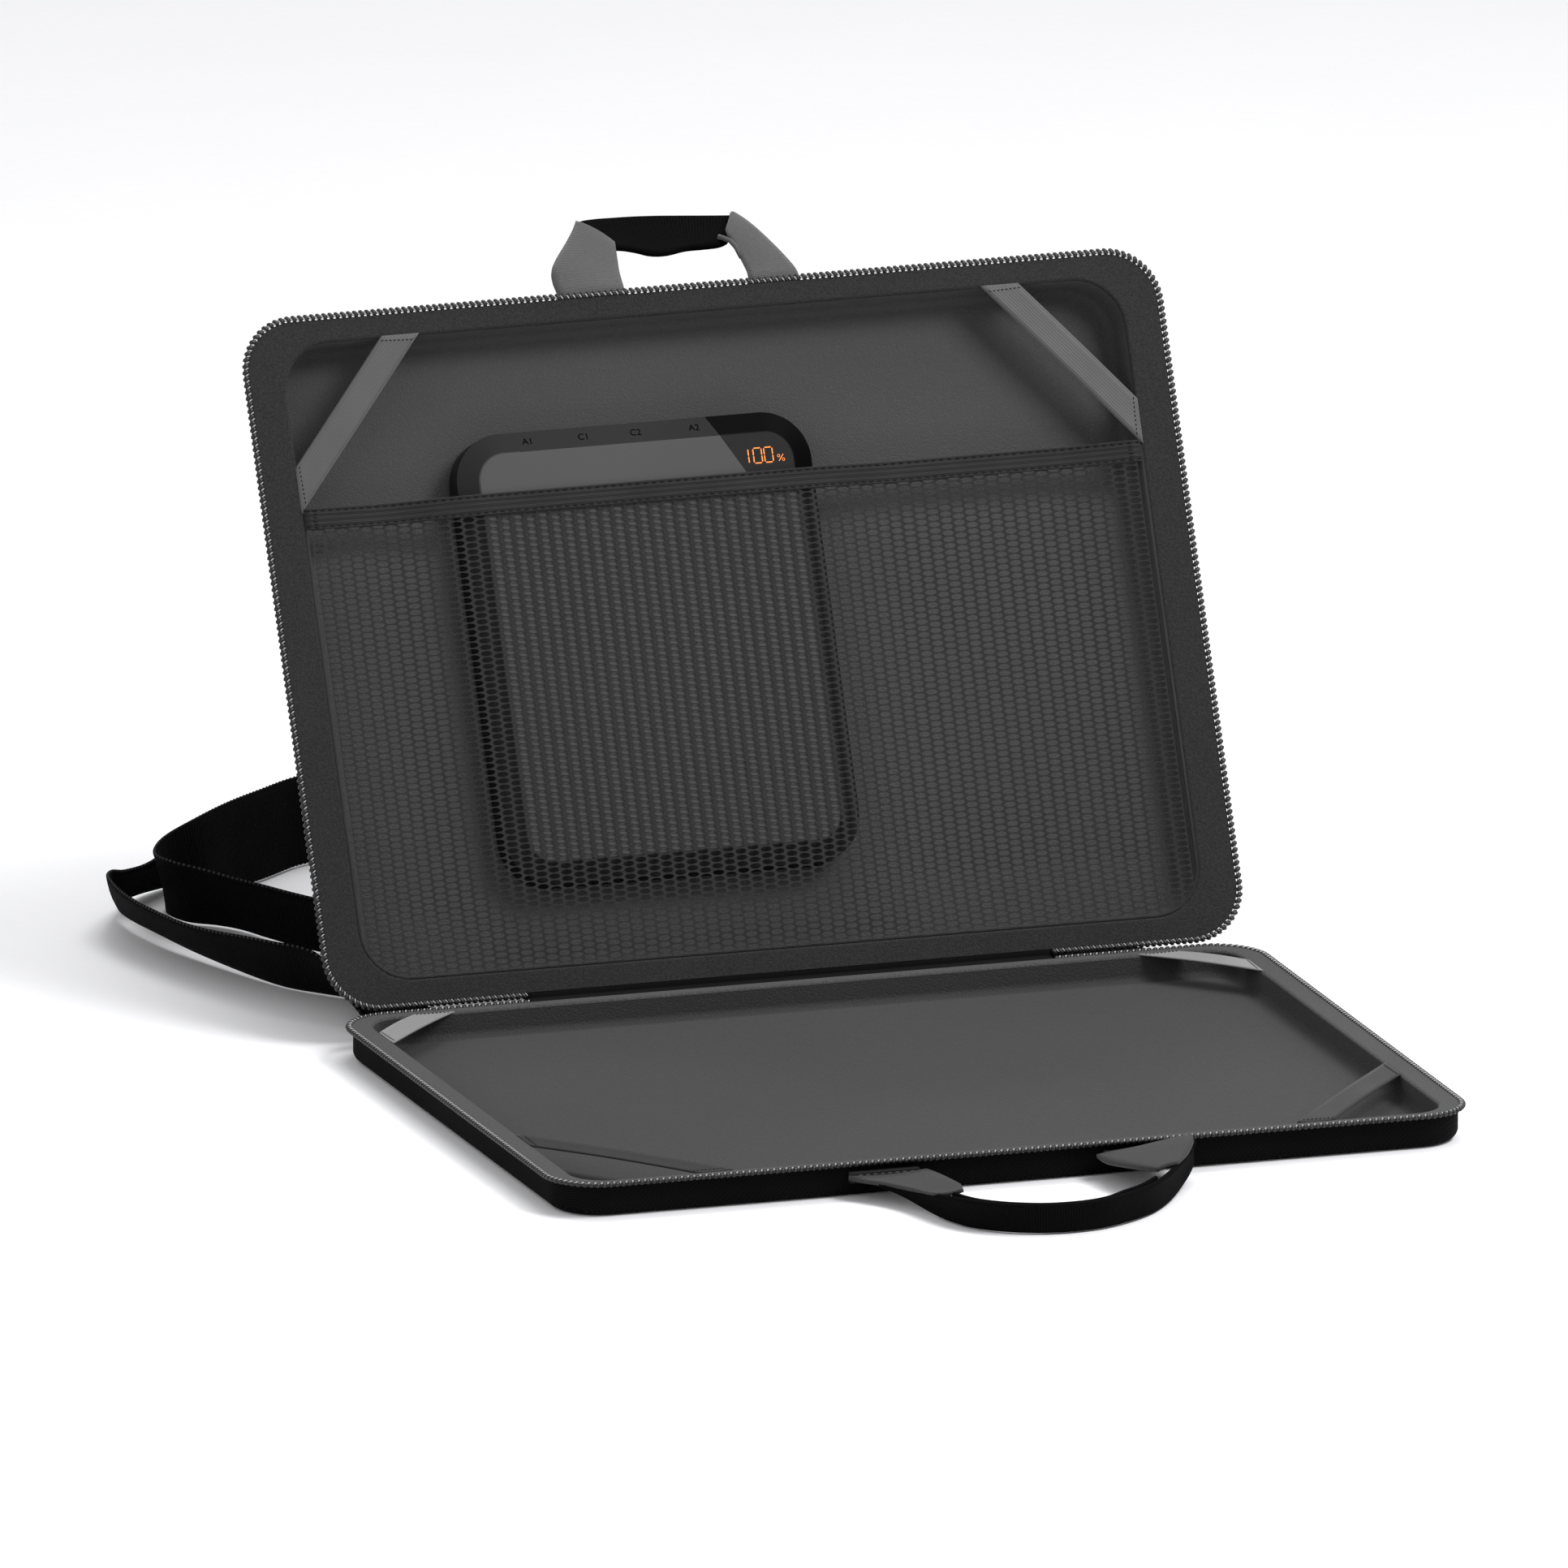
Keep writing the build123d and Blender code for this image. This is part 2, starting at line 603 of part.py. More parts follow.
def build():
    """Every node, by name, where it lies with the lid open."""
    nodes = {
        "tray_shell": tray_shell(),
        "tray_board": tray_board(),
        "tray_liner": tray_liner(),
        "tray_zip_coil": from_spine(coil(-COIL_FAR, -COIL_NEAR)),
        "tray_zip_tape": from_spine(tape(-COIL_FAR + 0.02, -FLANGE_FAR - 0.02)),
        "tray_spine_strip": from_spine(spine_strip(-COIL_FAR, -COIL_NEAR)),
        "tray_band_front_left": tray_band(-187, -204, -127, -277),
        "tray_band_front_right": tray_band(187, -204, 127, -277),
        "tray_band_rear_left": tray_band(-186, -40, -155, -9),
        "tray_band_rear_right": tray_band(186, -40, 155, -9),
        "tray_handle": tray_handle(),
        "tray_handle_anchors": tray_handle_anchors(),
        "lid_shell": on_lid(lid_shell()),
        "lid_liner": on_lid(lid_liner()),
        "lid_zip_coil": on_lid(coil(COIL_NEAR, COIL_FAR)),
        "lid_zip_tape": on_lid(tape(FLANGE_FAR + 0.02, COIL_FAR - 0.02)),
        "lid_spine_strip": on_lid(spine_strip(COIL_NEAR, COIL_FAR)),
        "lid_band_left": on_lid(lid_band(-1)),
        "lid_band_right": on_lid(lid_band(1)),
        "mesh_pocket": on_lid(mesh_pocket()),
        "pocket_hem": on_lid(pocket_hem()),
        "lid_handle": on_lid(lid_handle()),
        "lid_handle_anchors": on_lid(lid_handle_anchors()),
        "pv_backing": on_lid(to_middle(rounded(PV_W, PV_D, 12, LID_H + 0.01, LID_H + PV_BACK_T))),
        "pv_cells": on_lid(pv_cells()),
        "pv_film": on_lid(pv_film()),
        "pv_border": on_lid(pv_border()),
        "pv_junction_box": on_lid(pv_box()),
        "pv_output_socket": on_lid(pv_socket()),
        "bank_back": on_lid(bank_back()),
        "bank_front": on_lid(bank_front_whole() - corner_zone() - strip_zone()),
        "bank_corner_panel": on_lid(bank_front_whole() & corner_zone()),
        "bank_port_strip": on_lid(bank_front_whole() & strip_zone()),
        "bank_display": on_lid(bank_display()),
        "bank_sockets_wide": on_lid(bank_sockets(13.4, 5.8, (0, 3))),
        "bank_sockets_narrow": on_lid(bank_sockets(9.4, 3.6, (1, 2))),
        "bank_cells": on_lid(bank_cells()),
        "bank_board": on_lid(bank_board()),
        "shoulder_strap": strap(),
    }
    for name, side in (("left", -1), ("right", 1)):
        nodes["zip_slider_" + name] = slider(side)
        nodes["zip_pull_" + name] = pull(side)
        nodes["d_ring_" + name] = d_ring(side)
        nodes["ring_tab_" + name] = ring_tab(side)
        nodes["strap_end_" + name] = strap_end(side)
    return nodes


os.makedirs("parts", exist_ok=True)
for node_name, node_shape in build().items():
    export_step(node_shape, "parts/" + node_name + ".step")
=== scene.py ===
"""Visual model of a zip-around carrying case for a thin computer, stood open.

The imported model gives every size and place. Here it gets its coil, mesh, webbing,
elastic and finishes. Lengths are in metres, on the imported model's own axes.
"""
import json
import logging
import math
from dataclasses import dataclass, field
from enum import Enum
from typing import Callable, Optional, Sequence, Union

import bmesh
import bpy
from mathutils import Matrix, Vector

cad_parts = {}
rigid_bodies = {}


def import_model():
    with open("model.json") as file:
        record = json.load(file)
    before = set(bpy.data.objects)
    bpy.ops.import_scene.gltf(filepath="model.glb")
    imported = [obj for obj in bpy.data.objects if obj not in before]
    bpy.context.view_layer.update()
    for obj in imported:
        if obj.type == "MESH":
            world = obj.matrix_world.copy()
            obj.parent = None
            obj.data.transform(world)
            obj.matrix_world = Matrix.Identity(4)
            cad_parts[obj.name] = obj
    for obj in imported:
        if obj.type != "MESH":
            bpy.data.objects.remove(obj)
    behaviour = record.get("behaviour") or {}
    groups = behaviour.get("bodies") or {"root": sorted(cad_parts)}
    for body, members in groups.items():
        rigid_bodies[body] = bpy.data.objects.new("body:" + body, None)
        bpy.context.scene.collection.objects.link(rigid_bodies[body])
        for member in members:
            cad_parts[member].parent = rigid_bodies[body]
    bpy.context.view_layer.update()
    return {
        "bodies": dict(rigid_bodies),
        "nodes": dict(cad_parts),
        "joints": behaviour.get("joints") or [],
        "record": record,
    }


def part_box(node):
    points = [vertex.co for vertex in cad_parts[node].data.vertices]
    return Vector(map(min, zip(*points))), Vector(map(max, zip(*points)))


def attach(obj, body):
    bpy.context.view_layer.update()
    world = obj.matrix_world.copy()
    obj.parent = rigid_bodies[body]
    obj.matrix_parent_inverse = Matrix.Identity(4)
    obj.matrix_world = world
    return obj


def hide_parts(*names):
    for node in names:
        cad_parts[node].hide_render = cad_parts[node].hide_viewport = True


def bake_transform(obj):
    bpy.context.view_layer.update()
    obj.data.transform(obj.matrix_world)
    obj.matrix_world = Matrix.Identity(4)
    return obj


LOG = logging.getLogger("case")
MM = 0.001
Socket = bpy.types.NodeSocket
Value = Union[float, Socket]


class Body(Enum):
    """The bodies that pieces ride on."""

    TRAY = "tray"
    LID = "lid"
    TRAY_HANDLE = "tray_handle"
    LID_HANDLE = "lid_handle"
    BANK = "power_bank"


class Weave(Enum):
    """The surface patterns that a cloth or moulded finish can have."""

    GRAIN = "grain"
    HIDE = "hide"
    TWILL = "twill"
    RIBBED = "ribbed"
    SATIN = "satin"
    MOULDED = "moulded"
    BRUSHED = "brushed"


# ---------------------------------------------------------------- node helpers


class Graph:
    """A thin wrapper that adds and joins nodes in one tree."""

    def __init__(self, tree: bpy.types.NodeTree) -> None:
        """Keeps the tree that nodes are added to."""
        self.tree = tree

    def add(self, kind: str, **settings: object) -> bpy.types.Node:
        """Adds a node.

        Args:
            kind: the node's type name.
            **settings: properties to set on it.

        Returns:
            The new node.
        """
        node = self.tree.nodes.new(kind)
        for name, value in settings.items():
            setattr(node, name, value)
        return node

    def feed(self, target: Socket, value: object) -> None:
        """Links a socket to target, or sets target's own value."""
        if isinstance(value, bpy.types.NodeSocket):
            self.tree.links.new(value, target)
        else:
            target.default_value = value

    def math(self, operation: str, *values: Value) -> Socket:
        """Adds a Math node.

        Args:
            operation: the node's operation.
            *values: a socket or a number for each input.

        Returns:
            The result's socket.
        """
        node = self.add("ShaderNodeMath", operation=operation)
        for i, value in enumerate(values):
            self.feed(node.inputs[i], value)
        return node.outputs[0]

    def vector_math(self, operation: str, a: object, b: object) -> bpy.types.Node:
        """Adds a Vector Math node with two inputs."""
        node = self.add("ShaderNodeVectorMath", operation=operation)
        self.feed(node.inputs[0], a)
        self.feed(node.inputs[1], b)
        return node

    def mix(self, share: Value, a: object, b: object) -> Socket:
        """Mixes two colours by a share from 0 to 1."""
        node = self.add("ShaderNodeMix", data_type="RGBA")
        self.feed(node.inputs[0], share)
        self.feed(node.inputs[6], a)
        self.feed(node.inputs[7], b)
        return node.outputs[2]

    def spread(self, value: Value, low: float, high: float, to_low: float, to_high: float) -> Socket:
        """Maps a value from one range to another, clamped."""
        node = self.add("ShaderNodeMapRange")
        self.feed(node.inputs[0], value)
        for i, number in enumerate((low, high, to_low, to_high), start=1):
            node.inputs[i].default_value = number
        return node.outputs[0]


class PatternLibrary:
    """The shader node groups that finishes share, each built once."""

    def __init__(self) -> None:
        """Starts with no group built."""
        self._groups: dict[Weave, bpy.types.NodeTree] = {}

    def group(self, weave: Weave) -> bpy.types.NodeTree:
        """The node group of a pattern, built at first use."""
        if weave not in self._groups:
            makers: dict[Weave, Callable[[Graph, Socket, Socket], tuple[Socket, Socket]]] = {
                Weave.GRAIN: self._grain,
                Weave.HIDE: self._hide,
                Weave.TWILL: self._twill,
                Weave.RIBBED: self._ribbed,
                Weave.SATIN: self._satin,
                Weave.MOULDED: self._moulded,
                Weave.BRUSHED: self._brushed,
            }
            tree = bpy.data.node_groups.new("Pattern " + weave.value, "ShaderNodeTree")
            face = tree.interface
            face.new_socket("Vector", in_out="INPUT", socket_type="NodeSocketVector")
            face.new_socket("Scale", in_out="INPUT", socket_type="NodeSocketFloat")
            face.new_socket("Height", in_out="OUTPUT", socket_type="NodeSocketFloat")
            face.new_socket("Tint", in_out="OUTPUT", socket_type="NodeSocketFloat")
            graph = Graph(tree)
            start = graph.add("NodeGroupInput")
            end = graph.add("NodeGroupOutput")
            height, tint = makers[weave](graph, start.outputs["Vector"], start.outputs["Scale"])
            graph.feed(end.inputs["Height"], height)
            graph.feed(end.inputs["Tint"], tint)
            self._groups[weave] = tree
        return self._groups[weave]

    @staticmethod
    def _noise(graph: Graph, vector: Socket, scale: Value, detail: float) -> Socket:
        """A noise texture's value."""
        node = graph.add("ShaderNodeTexNoise")
        graph.feed(node.inputs["Vector"], vector)
        graph.feed(node.inputs["Scale"], scale)
        node.inputs["Detail"].default_value = detail
        return node.outputs[0]

    @staticmethod
    def _cells(graph: Graph, vector: Socket, scale: Value) -> Socket:
        """A cell texture's distance from each cell's middle."""
        node = graph.add("ShaderNodeTexVoronoi")
        graph.feed(node.inputs["Vector"], vector)
        graph.feed(node.inputs["Scale"], scale)
        return node.outputs["Distance"]

    def _grain(self, graph: Graph, vector: Socket, scale: Socket) -> tuple[Socket, Socket]:
        """A fine felted grain with a slow change of tone."""
        fine = self._noise(graph, vector, graph.math("MULTIPLY", scale, 1.0), 3.0)
        pits = self._cells(graph, vector, graph.math("MULTIPLY", scale, 0.8))
        height = graph.math("ADD", fine, graph.math("MULTIPLY", pits, 0.6))
        slow = self._noise(graph, vector, 9.0, 2.0)
        speck = graph.spread(fine, 0.35, 0.7, 0.0, 1.0)
        tint = graph.math("ADD", graph.math("MULTIPLY", speck, 0.65), graph.math("MULTIPLY", slow, 0.35))
        return height, tint

    def _hide(self, graph: Graph, vector: Socket, scale: Socket) -> tuple[Socket, Socket]:
        """A pebbled grain like embossed hide."""
        pebbles = self._cells(graph, vector, scale)
        pores = self._noise(graph, vector, graph.math("MULTIPLY", scale, 2.5), 2.0)
        height = graph.math("SUBTRACT", graph.math("MULTIPLY", pores, 0.4), graph.math("POWER", pebbles, 2.0))
        slow = self._noise(graph, vector, 6.0, 2.0)
        tint = graph.math("ADD", graph.math("MULTIPLY", pebbles, 0.4), graph.math("MULTIPLY", slow, 0.6))
        return height, tint

    def _waves(self, graph: Graph, coordinate: Socket, scale: Value) -> Socket:
        """A sine wave from 0 to 1 along one coordinate, scale waves a metre."""
        turn = graph.math("MULTIPLY", graph.math("MULTIPLY", coordinate, scale), 2 * math.pi)
        return graph.math("MULTIPLY_ADD", graph.math("SINE", turn), 0.5, 0.5)

    def _twill(self, graph: Graph, vector: Socket, scale: Socket) -> tuple[Socket, Socket]:
        """Two crossed diagonal ribs, as on packcloth."""
        part = graph.add("ShaderNodeSeparateXYZ")
        graph.feed(part.inputs[0], vector)
        x, y, z = part.outputs
        down = graph.math("ADD", y, z)
        one = self._waves(graph, graph.math("ADD", x, down), scale)
        two = self._waves(graph, graph.math("SUBTRACT", x, down), graph.math("MULTIPLY", scale, 0.5))
        height = graph.math("MULTIPLY", one, graph.math("MULTIPLY_ADD", two, 0.6, 0.4))
        slow = self._noise(graph, vector, 14.0, 3.0)
        tint = graph.math("ADD", graph.math("MULTIPLY", height, 0.6), graph.math("MULTIPLY", slow, 0.4))
        return height, tint

    def _ribbed(self, graph: Graph, vector: Socket, scale: Socket) -> tuple[Socket, Socket]:
        """Webbing: ribs across its length, yarn along it, on a length and width map."""
        part = graph.add("ShaderNodeSeparateXYZ")
        graph.feed(part.inputs[0], vector)
        along, across = part.outputs[0], part.outputs[1]
        ribs = self._waves(graph, along, scale)
        yarn = self._waves(graph, across, graph.math("MULTIPLY", scale, 1.6))
        height = graph.math("ADD", ribs, graph.math("MULTIPLY", yarn, 0.35))
        fuzz = self._noise(graph, vector, 700.0, 2.0)
        slow = self._noise(graph, vector, 30.0, 2.0)
        tone = graph.math("ADD", graph.math("MULTIPLY", ribs, 0.35), graph.math("MULTIPLY", fuzz, 0.35))
        return height, graph.math("ADD", tone, graph.math("MULTIPLY", slow, 0.3))

    def _satin(self, graph: Graph, vector: Socket, scale: Socket) -> tuple[Socket, Socket]:
        """Elastic: fine lines along its length with a soft shine across it."""
        part = graph.add("ShaderNodeSeparateXYZ")
        graph.feed(part.inputs[0], vector)
        lines = self._waves(graph, part.outputs[1], scale)
        slow = self._noise(graph, vector, 45.0, 2.0)
        tint = graph.math("ADD", graph.math("MULTIPLY", lines, 0.45), graph.math("MULTIPLY", slow, 0.55))
        return lines, tint

    def _moulded(self, graph: Graph, vector: Socket, scale: Socket) -> tuple[Socket, Socket]:
        """Spark-eroded moulding texture."""
        fine = self._noise(graph, vector, scale, 4.0)
        slow = self._noise(graph, vector, 12.0, 2.0)
        return fine, graph.math("ADD", graph.math("MULTIPLY", fine, 0.4), graph.math("MULTIPLY", slow, 0.6))

    def _brushed(self, graph: Graph, vector: Socket, scale: Socket) -> tuple[Socket, Socket]:
        """Fine drawn lines, as on a plated pressing."""
        stretch = graph.vector_math("MULTIPLY", vector, (1.0, 0.08, 0.08))
        fine = self._noise(graph, stretch.outputs[0], scale, 3.0)
        slow = self._noise(graph, vector, 60.0, 2.0)
        return fine, graph.math("ADD", graph.math("MULTIPLY", fine, 0.5), graph.math("MULTIPLY", slow, 0.5))


PATTERNS = PatternLibrary()


@dataclass(frozen=True)
class Finish:
    """One surface finish: two tones, a pattern and how it shines."""

    name: str
    dark: tuple[float, float, float]
    light: tuple[float, float, float]
    weave: Weave
    scale: float
    relief: float
    roughness: float = 0.8
    rough_spread: float = 0.1
    metallic: float = 0.0
    sheen: float = 0.0
    coat: float = 0.0
    specular: float = 0.12
    mapped: bool = False

    def material(self) -> bpy.types.Material:
        """The finish as a material, built at first use."""
        known = bpy.data.materials.get(self.name)
        if known is not None:
            return known
        made = bpy.data.materials.new(self.name)
        made.use_nodes = True
        made.diffuse_color = (*self.light, 1.0)
        graph = Graph(made.node_tree)
        shader = made.node_tree.nodes["Principled BSDF"]
        place = graph.add("ShaderNodeTexCoord").outputs["UV" if self.mapped else "Object"]
        pattern = graph.add("ShaderNodeGroup", node_tree=PATTERNS.group(self.weave))
        graph.feed(pattern.inputs["Vector"], place)
        pattern.inputs["Scale"].default_value = self.scale
        tint = graph.spread(pattern.outputs["Tint"], 0.2, 0.8, 0.0, 1.0)
        colour = graph.mix(tint, (*self.dark, 1.0), (*self.light, 1.0))
        graph.feed(shader.inputs["Base Color"], colour)
        low = max(self.roughness - self.rough_spread, 0.05)
        high = min(self.roughness + self.rough_spread, 1.0)
        graph.feed(shader.inputs["Roughness"], graph.spread(tint, 0.0, 1.0, high, low))
        shader.inputs["Metallic"].default_value = self.metallic
        shader.inputs["Sheen Weight"].default_value = self.sheen
        shader.inputs["Sheen Roughness"].default_value = 0.45
        shader.inputs["Coat Weight"].default_value = self.coat
        shader.inputs["Specular IOR Level"].default_value = self.specular
        bump = graph.add("ShaderNodeBump")
        bump.inputs["Strength"].default_value = 0.8
        bump.inputs["Distance"].default_value = self.relief
        graph.feed(bump.inputs["Height"], pattern.outputs["Height"])
        graph.feed(shader.inputs["Normal"], bump.outputs["Normal"])
        return made


def grey(level: float, warmth: float = 0.0) -> tuple[float, float, float]:
    """A neutral tone, a little cooler or warmer than grey."""
    return (level * (1 + warmth), level, level * (1.02 - warmth))


FLANGE = Finish("Charcoal knit", grey(0.013), grey(0.026), Weave.GRAIN, 1500.0, 0.00025, 0.85, sheen=0.05)
LINING = Finish("Lid lining", grey(0.037), grey(0.054), Weave.HIDE, 1300.0, 0.00014, 0.62, sheen=0.04)
TRAY_KNIT = Finish("Tray knit", grey(0.036), grey(0.064), Weave.GRAIN, 1500.0, 0.00025, 0.85, sheen=0.1)
TRAY_LINING = Finish("Tray lining", grey(0.024), grey(0.038), Weave.HIDE, 1300.0, 0.00014, 0.65, sheen=0.04)
SHELL_CLOTH = Finish("Black packcloth", grey(0.0012), grey(0.005), Weave.TWILL, 900.0, 0.00018, 0.8, specular=0.04)
COIL_NYLON = Finish("Coil nylon", grey(0.006), grey(0.016), Weave.MOULDED, 2500.0, 0.00005, 0.3, coat=0.1,
                    specular=0.3)
# Painted highlight: light grey beads between the coil turns stand in for the shine on the coil.
COIL_GLINT = Finish("Bright thread", grey(0.28), grey(0.5), Weave.MOULDED, 3000.0, 0.00004, 0.3, sheen=0.2)
TAPE_CLOTH = Finish("Zip tape", grey(0.003), grey(0.009), Weave.TWILL, 1400.0, 0.00012, 0.8)
ELASTIC_GREY = Finish("Grey elastic", grey(0.06), grey(0.085), Weave.SATIN, 900.0, 0.00004, 0.42, sheen=0.25,
                      mapped=True)
# Painted shade: the same elastic as the lid bands, darkened for the tray's front bands, which lie in shade.
ELASTIC_PAINTED_SHADE = Finish("Elastic with painted shade", grey(0.012), grey(0.022), Weave.SATIN, 900.0, 0.00004, 0.45, sheen=0.1,
                      mapped=True)
# Painted light: the same elastic, lightened for the tray's rear bands, where light falls on them.
ELASTIC_PAINTED_LIGHT = Finish("Elastic with painted light", grey(0.16), grey(0.22), Weave.SATIN, 900.0, 0.00004, 0.42, sheen=0.3,
                       mapped=True)
MESH_YARN = Finish("Mesh yarn", grey(0.014), grey(0.024), Weave.GRAIN, 2600.0, 0.0001, 0.7, sheen=0.1)
HEM_CLOTH = Finish("Hem elastic", grey(0.010), grey(0.020), Weave.SATIN, 1500.0, 0.0001, 0.6, sheen=0.08,
                   mapped=True)
STITCH_BLACK = Finish("Black stitch", grey(0.002), grey(0.005), Weave.MOULDED, 3000.0, 0.00003, 0.5)
STITCH_GREY = Finish("Grey stitch", grey(0.05), grey(0.11), Weave.MOULDED, 3000.0, 0.00003, 0.5)
STRAP_WEB = Finish("Strap webbing", grey(0.0010), grey(0.005), Weave.RIBBED, 760.0, 0.0003, 0.75,
                   specular=0.02, mapped=True)
# Painted highlight: dashes of lighter grey along the strap's edges stand in for light catching the webbing's edges.
STRAP_EDGE_GLINT = Finish("Painted strap edge highlight", grey(0.012), grey(0.035), Weave.MOULDED, 3000.0, 0.00003, 0.5)
HANDLE_WEB = Finish("Handle webbing", grey(0.045), grey(0.08), Weave.RIBBED, 1100.0, 0.0001, 0.6, sheen=0.3,
                    mapped=True)
# Near black: the grip's black binding, darkened further as painted shade of its unlit inner face.
GRIP_WEB = Finish("Grip webbing", grey(0.0010), grey(0.004), Weave.RIBBED, 900.0, 0.0001, 0.75, specular=0.02,
                  mapped=True)
TRAY_WEB = Finish("Tray handle webbing", grey(0.022), grey(0.042), Weave.RIBBED, 1100.0, 0.0001, 0.6,
                  sheen=0.12, mapped=True)
METAL_BLACK = Finish("Black zinc", grey(0.02), grey(0.04), Weave.BRUSHED, 1200.0, 0.00003, 0.33, metallic=0.9,
                     specular=0.5)
BANK_FACE = Finish("Store front", grey(0.060), grey(0.074), Weave.MOULDED, 5000.0, 0.00002, 0.42, specular=0.35)
BANK_SLOPE = Finish("Store slope", grey(0.010), grey(0.015), Weave.MOULDED, 5000.0, 0.00002, 0.6, specular=0.1)
BANK_CASE = Finish("Store case", grey(0.005), grey(0.010), Weave.MOULDED, 4000.0, 0.00003, 0.45, specular=0.2)
BANK_STRIP = Finish("Store strip", grey(0.005), grey(0.009), Weave.MOULDED, 4000.0, 0.00003, 0.5)
GLOSS_FLAT = Finish("Window face", grey(0.022), grey(0.028), Weave.MOULDED, 300.0, 0.000003, 0.15, 0.04,
                    specular=0.1)
GLOSS_SLOPE = Finish("Window slope", grey(0.0012), grey(0.0016), Weave.MOULDED, 300.0, 0.000003, 0.35, 0.04,
                     specular=0.02)
PLATED = Finish("Plated steel", grey(0.45), grey(0.62), Weave.BRUSHED, 1500.0, 0.00002, 0.3, metallic=1.0,
                specular=0.5)
BOARD_GREEN = Finish("Circuit board", (0.006, 0.05, 0.018), (0.01, 0.09, 0.03), Weave.MOULDED, 900.0, 0.00005,
                     0.4, specular=0.5)
POUCH_FOIL = Finish("Pouch foil", grey(0.5), grey(0.62), Weave.BRUSHED, 800.0, 0.00005, 0.35, metallic=0.9,
                    specular=0.5)
STIFF_SHEET = Finish("Stiff sheet", grey(0.12), grey(0.18), Weave.MOULDED, 900.0, 0.00005, 0.6)
PV_LAMINATE = Finish("Panel laminate", grey(0.004), grey(0.009), Weave.TWILL, 1000.0, 0.0001, 0.5)
BORDER_CLOTH = Finish("Border cloth", grey(0.003), grey(0.010), Weave.TWILL, 1100.0, 0.00012, 0.75, sheen=0.05)
STRAP_SEAT = Finish("Anchor webbing", grey(0.01), grey(0.03), Weave.TWILL, 1000.0, 0.0001, 0.7, sheen=0.05)
LABEL_INK = Finish("Label ink", grey(0.0008), grey(0.0012), Weave.MOULDED, 3000.0, 0.00001, 0.5, specular=0.0)
FLOOR_WHITE = Finish("Studio floor", grey(0.86), grey(0.9), Weave.MOULDED, 200.0, 0.00001, 0.6, specular=0.5)


# ---------------------------------------------------------------- geometry helpers


@dataclass(frozen=True)
class CaseFrame:
    """Where the hinge line, the rims and the lid are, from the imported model."""

    hinge: Vector
    angle: float
    width: float
    depth: float

    @classmethod
    def read(cls, frame: dict) -> "CaseFrame":
        """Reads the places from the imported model.


        Returns:
            The case's frame.
        """
        joints = {j["name"]: j for j in frame["record"]["behaviour"]["joints"]}
        hinge = joints["lid_hinge"]
        low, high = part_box("tray_zip_coil")
        return cls(
            hinge=Vector(hinge["pos_m"]),
            angle=math.radians(-hinge["range_deg"][0]),
            width=high[0] - low[0],
            depth=high[1] - low[1],
        )

    @property
    def up(self) -> Vector:
        """The direction up the lid from the hinge line."""
        return Vector((0.0, -math.cos(self.angle), math.sin(self.angle)))

    @property
    def out(self) -> Vector:
        """The direction out of the lid's outer face."""
        return Vector((0.0, math.sin(self.angle), math.cos(self.angle)))

    def on_lid(self, x: float, rise: float, outward: float) -> Vector:
        """A point on the lid, from the hinge line, in metres."""
        return Vector((x, self.hinge.y, self.hinge.z)) + self.up * rise + self.out * outward

    def on_tray(self, x: float, back: float, above: float) -> Vector:
        """A point on the tray, from the hinge line, in metres."""
        return Vector((x, self.hinge.y + back, self.hinge.z + above))


def new_object(name: str, mesh: bpy.types.Mesh) -> bpy.types.Object:
    """Adds an object with this mesh at the origin."""
    made = bpy.data.objects.new(name, mesh)
    bpy.context.scene.collection.objects.link(made)
    return made


def dress(obj: bpy.types.Object, *finishes: Finish) -> None:
    """Puts the finishes in an object's material slots, in order."""
    obj.data.materials.clear()
    for finish in finishes:
        obj.data.materials.append(finish.material())


def between(points: Sequence[Vector], steps: int) -> list[Vector]:
    """A smooth line through the points.

    Args:
        points: the points it passes through.
        steps: how many pieces each stretch is cut into.

    Returns:
        The line's points.
    """
    count = len(points)
    line: list[Vector] = []
    for i in range(count - 1):
        a = points[max(i - 1, 0)]
        b, c = points[i], points[i + 1]
        d = points[min(i + 2, count - 1)]
        for k in range(steps):
            t = k / steps
            line.append(
                0.5 * (2 * b + (c - a) * t + (2 * a - 5 * b + 4 * c - d) * t * t
                       + (3 * b - a - 3 * c + d) * t ** 3)
            )
    line.append(points[-1].copy())
    return line


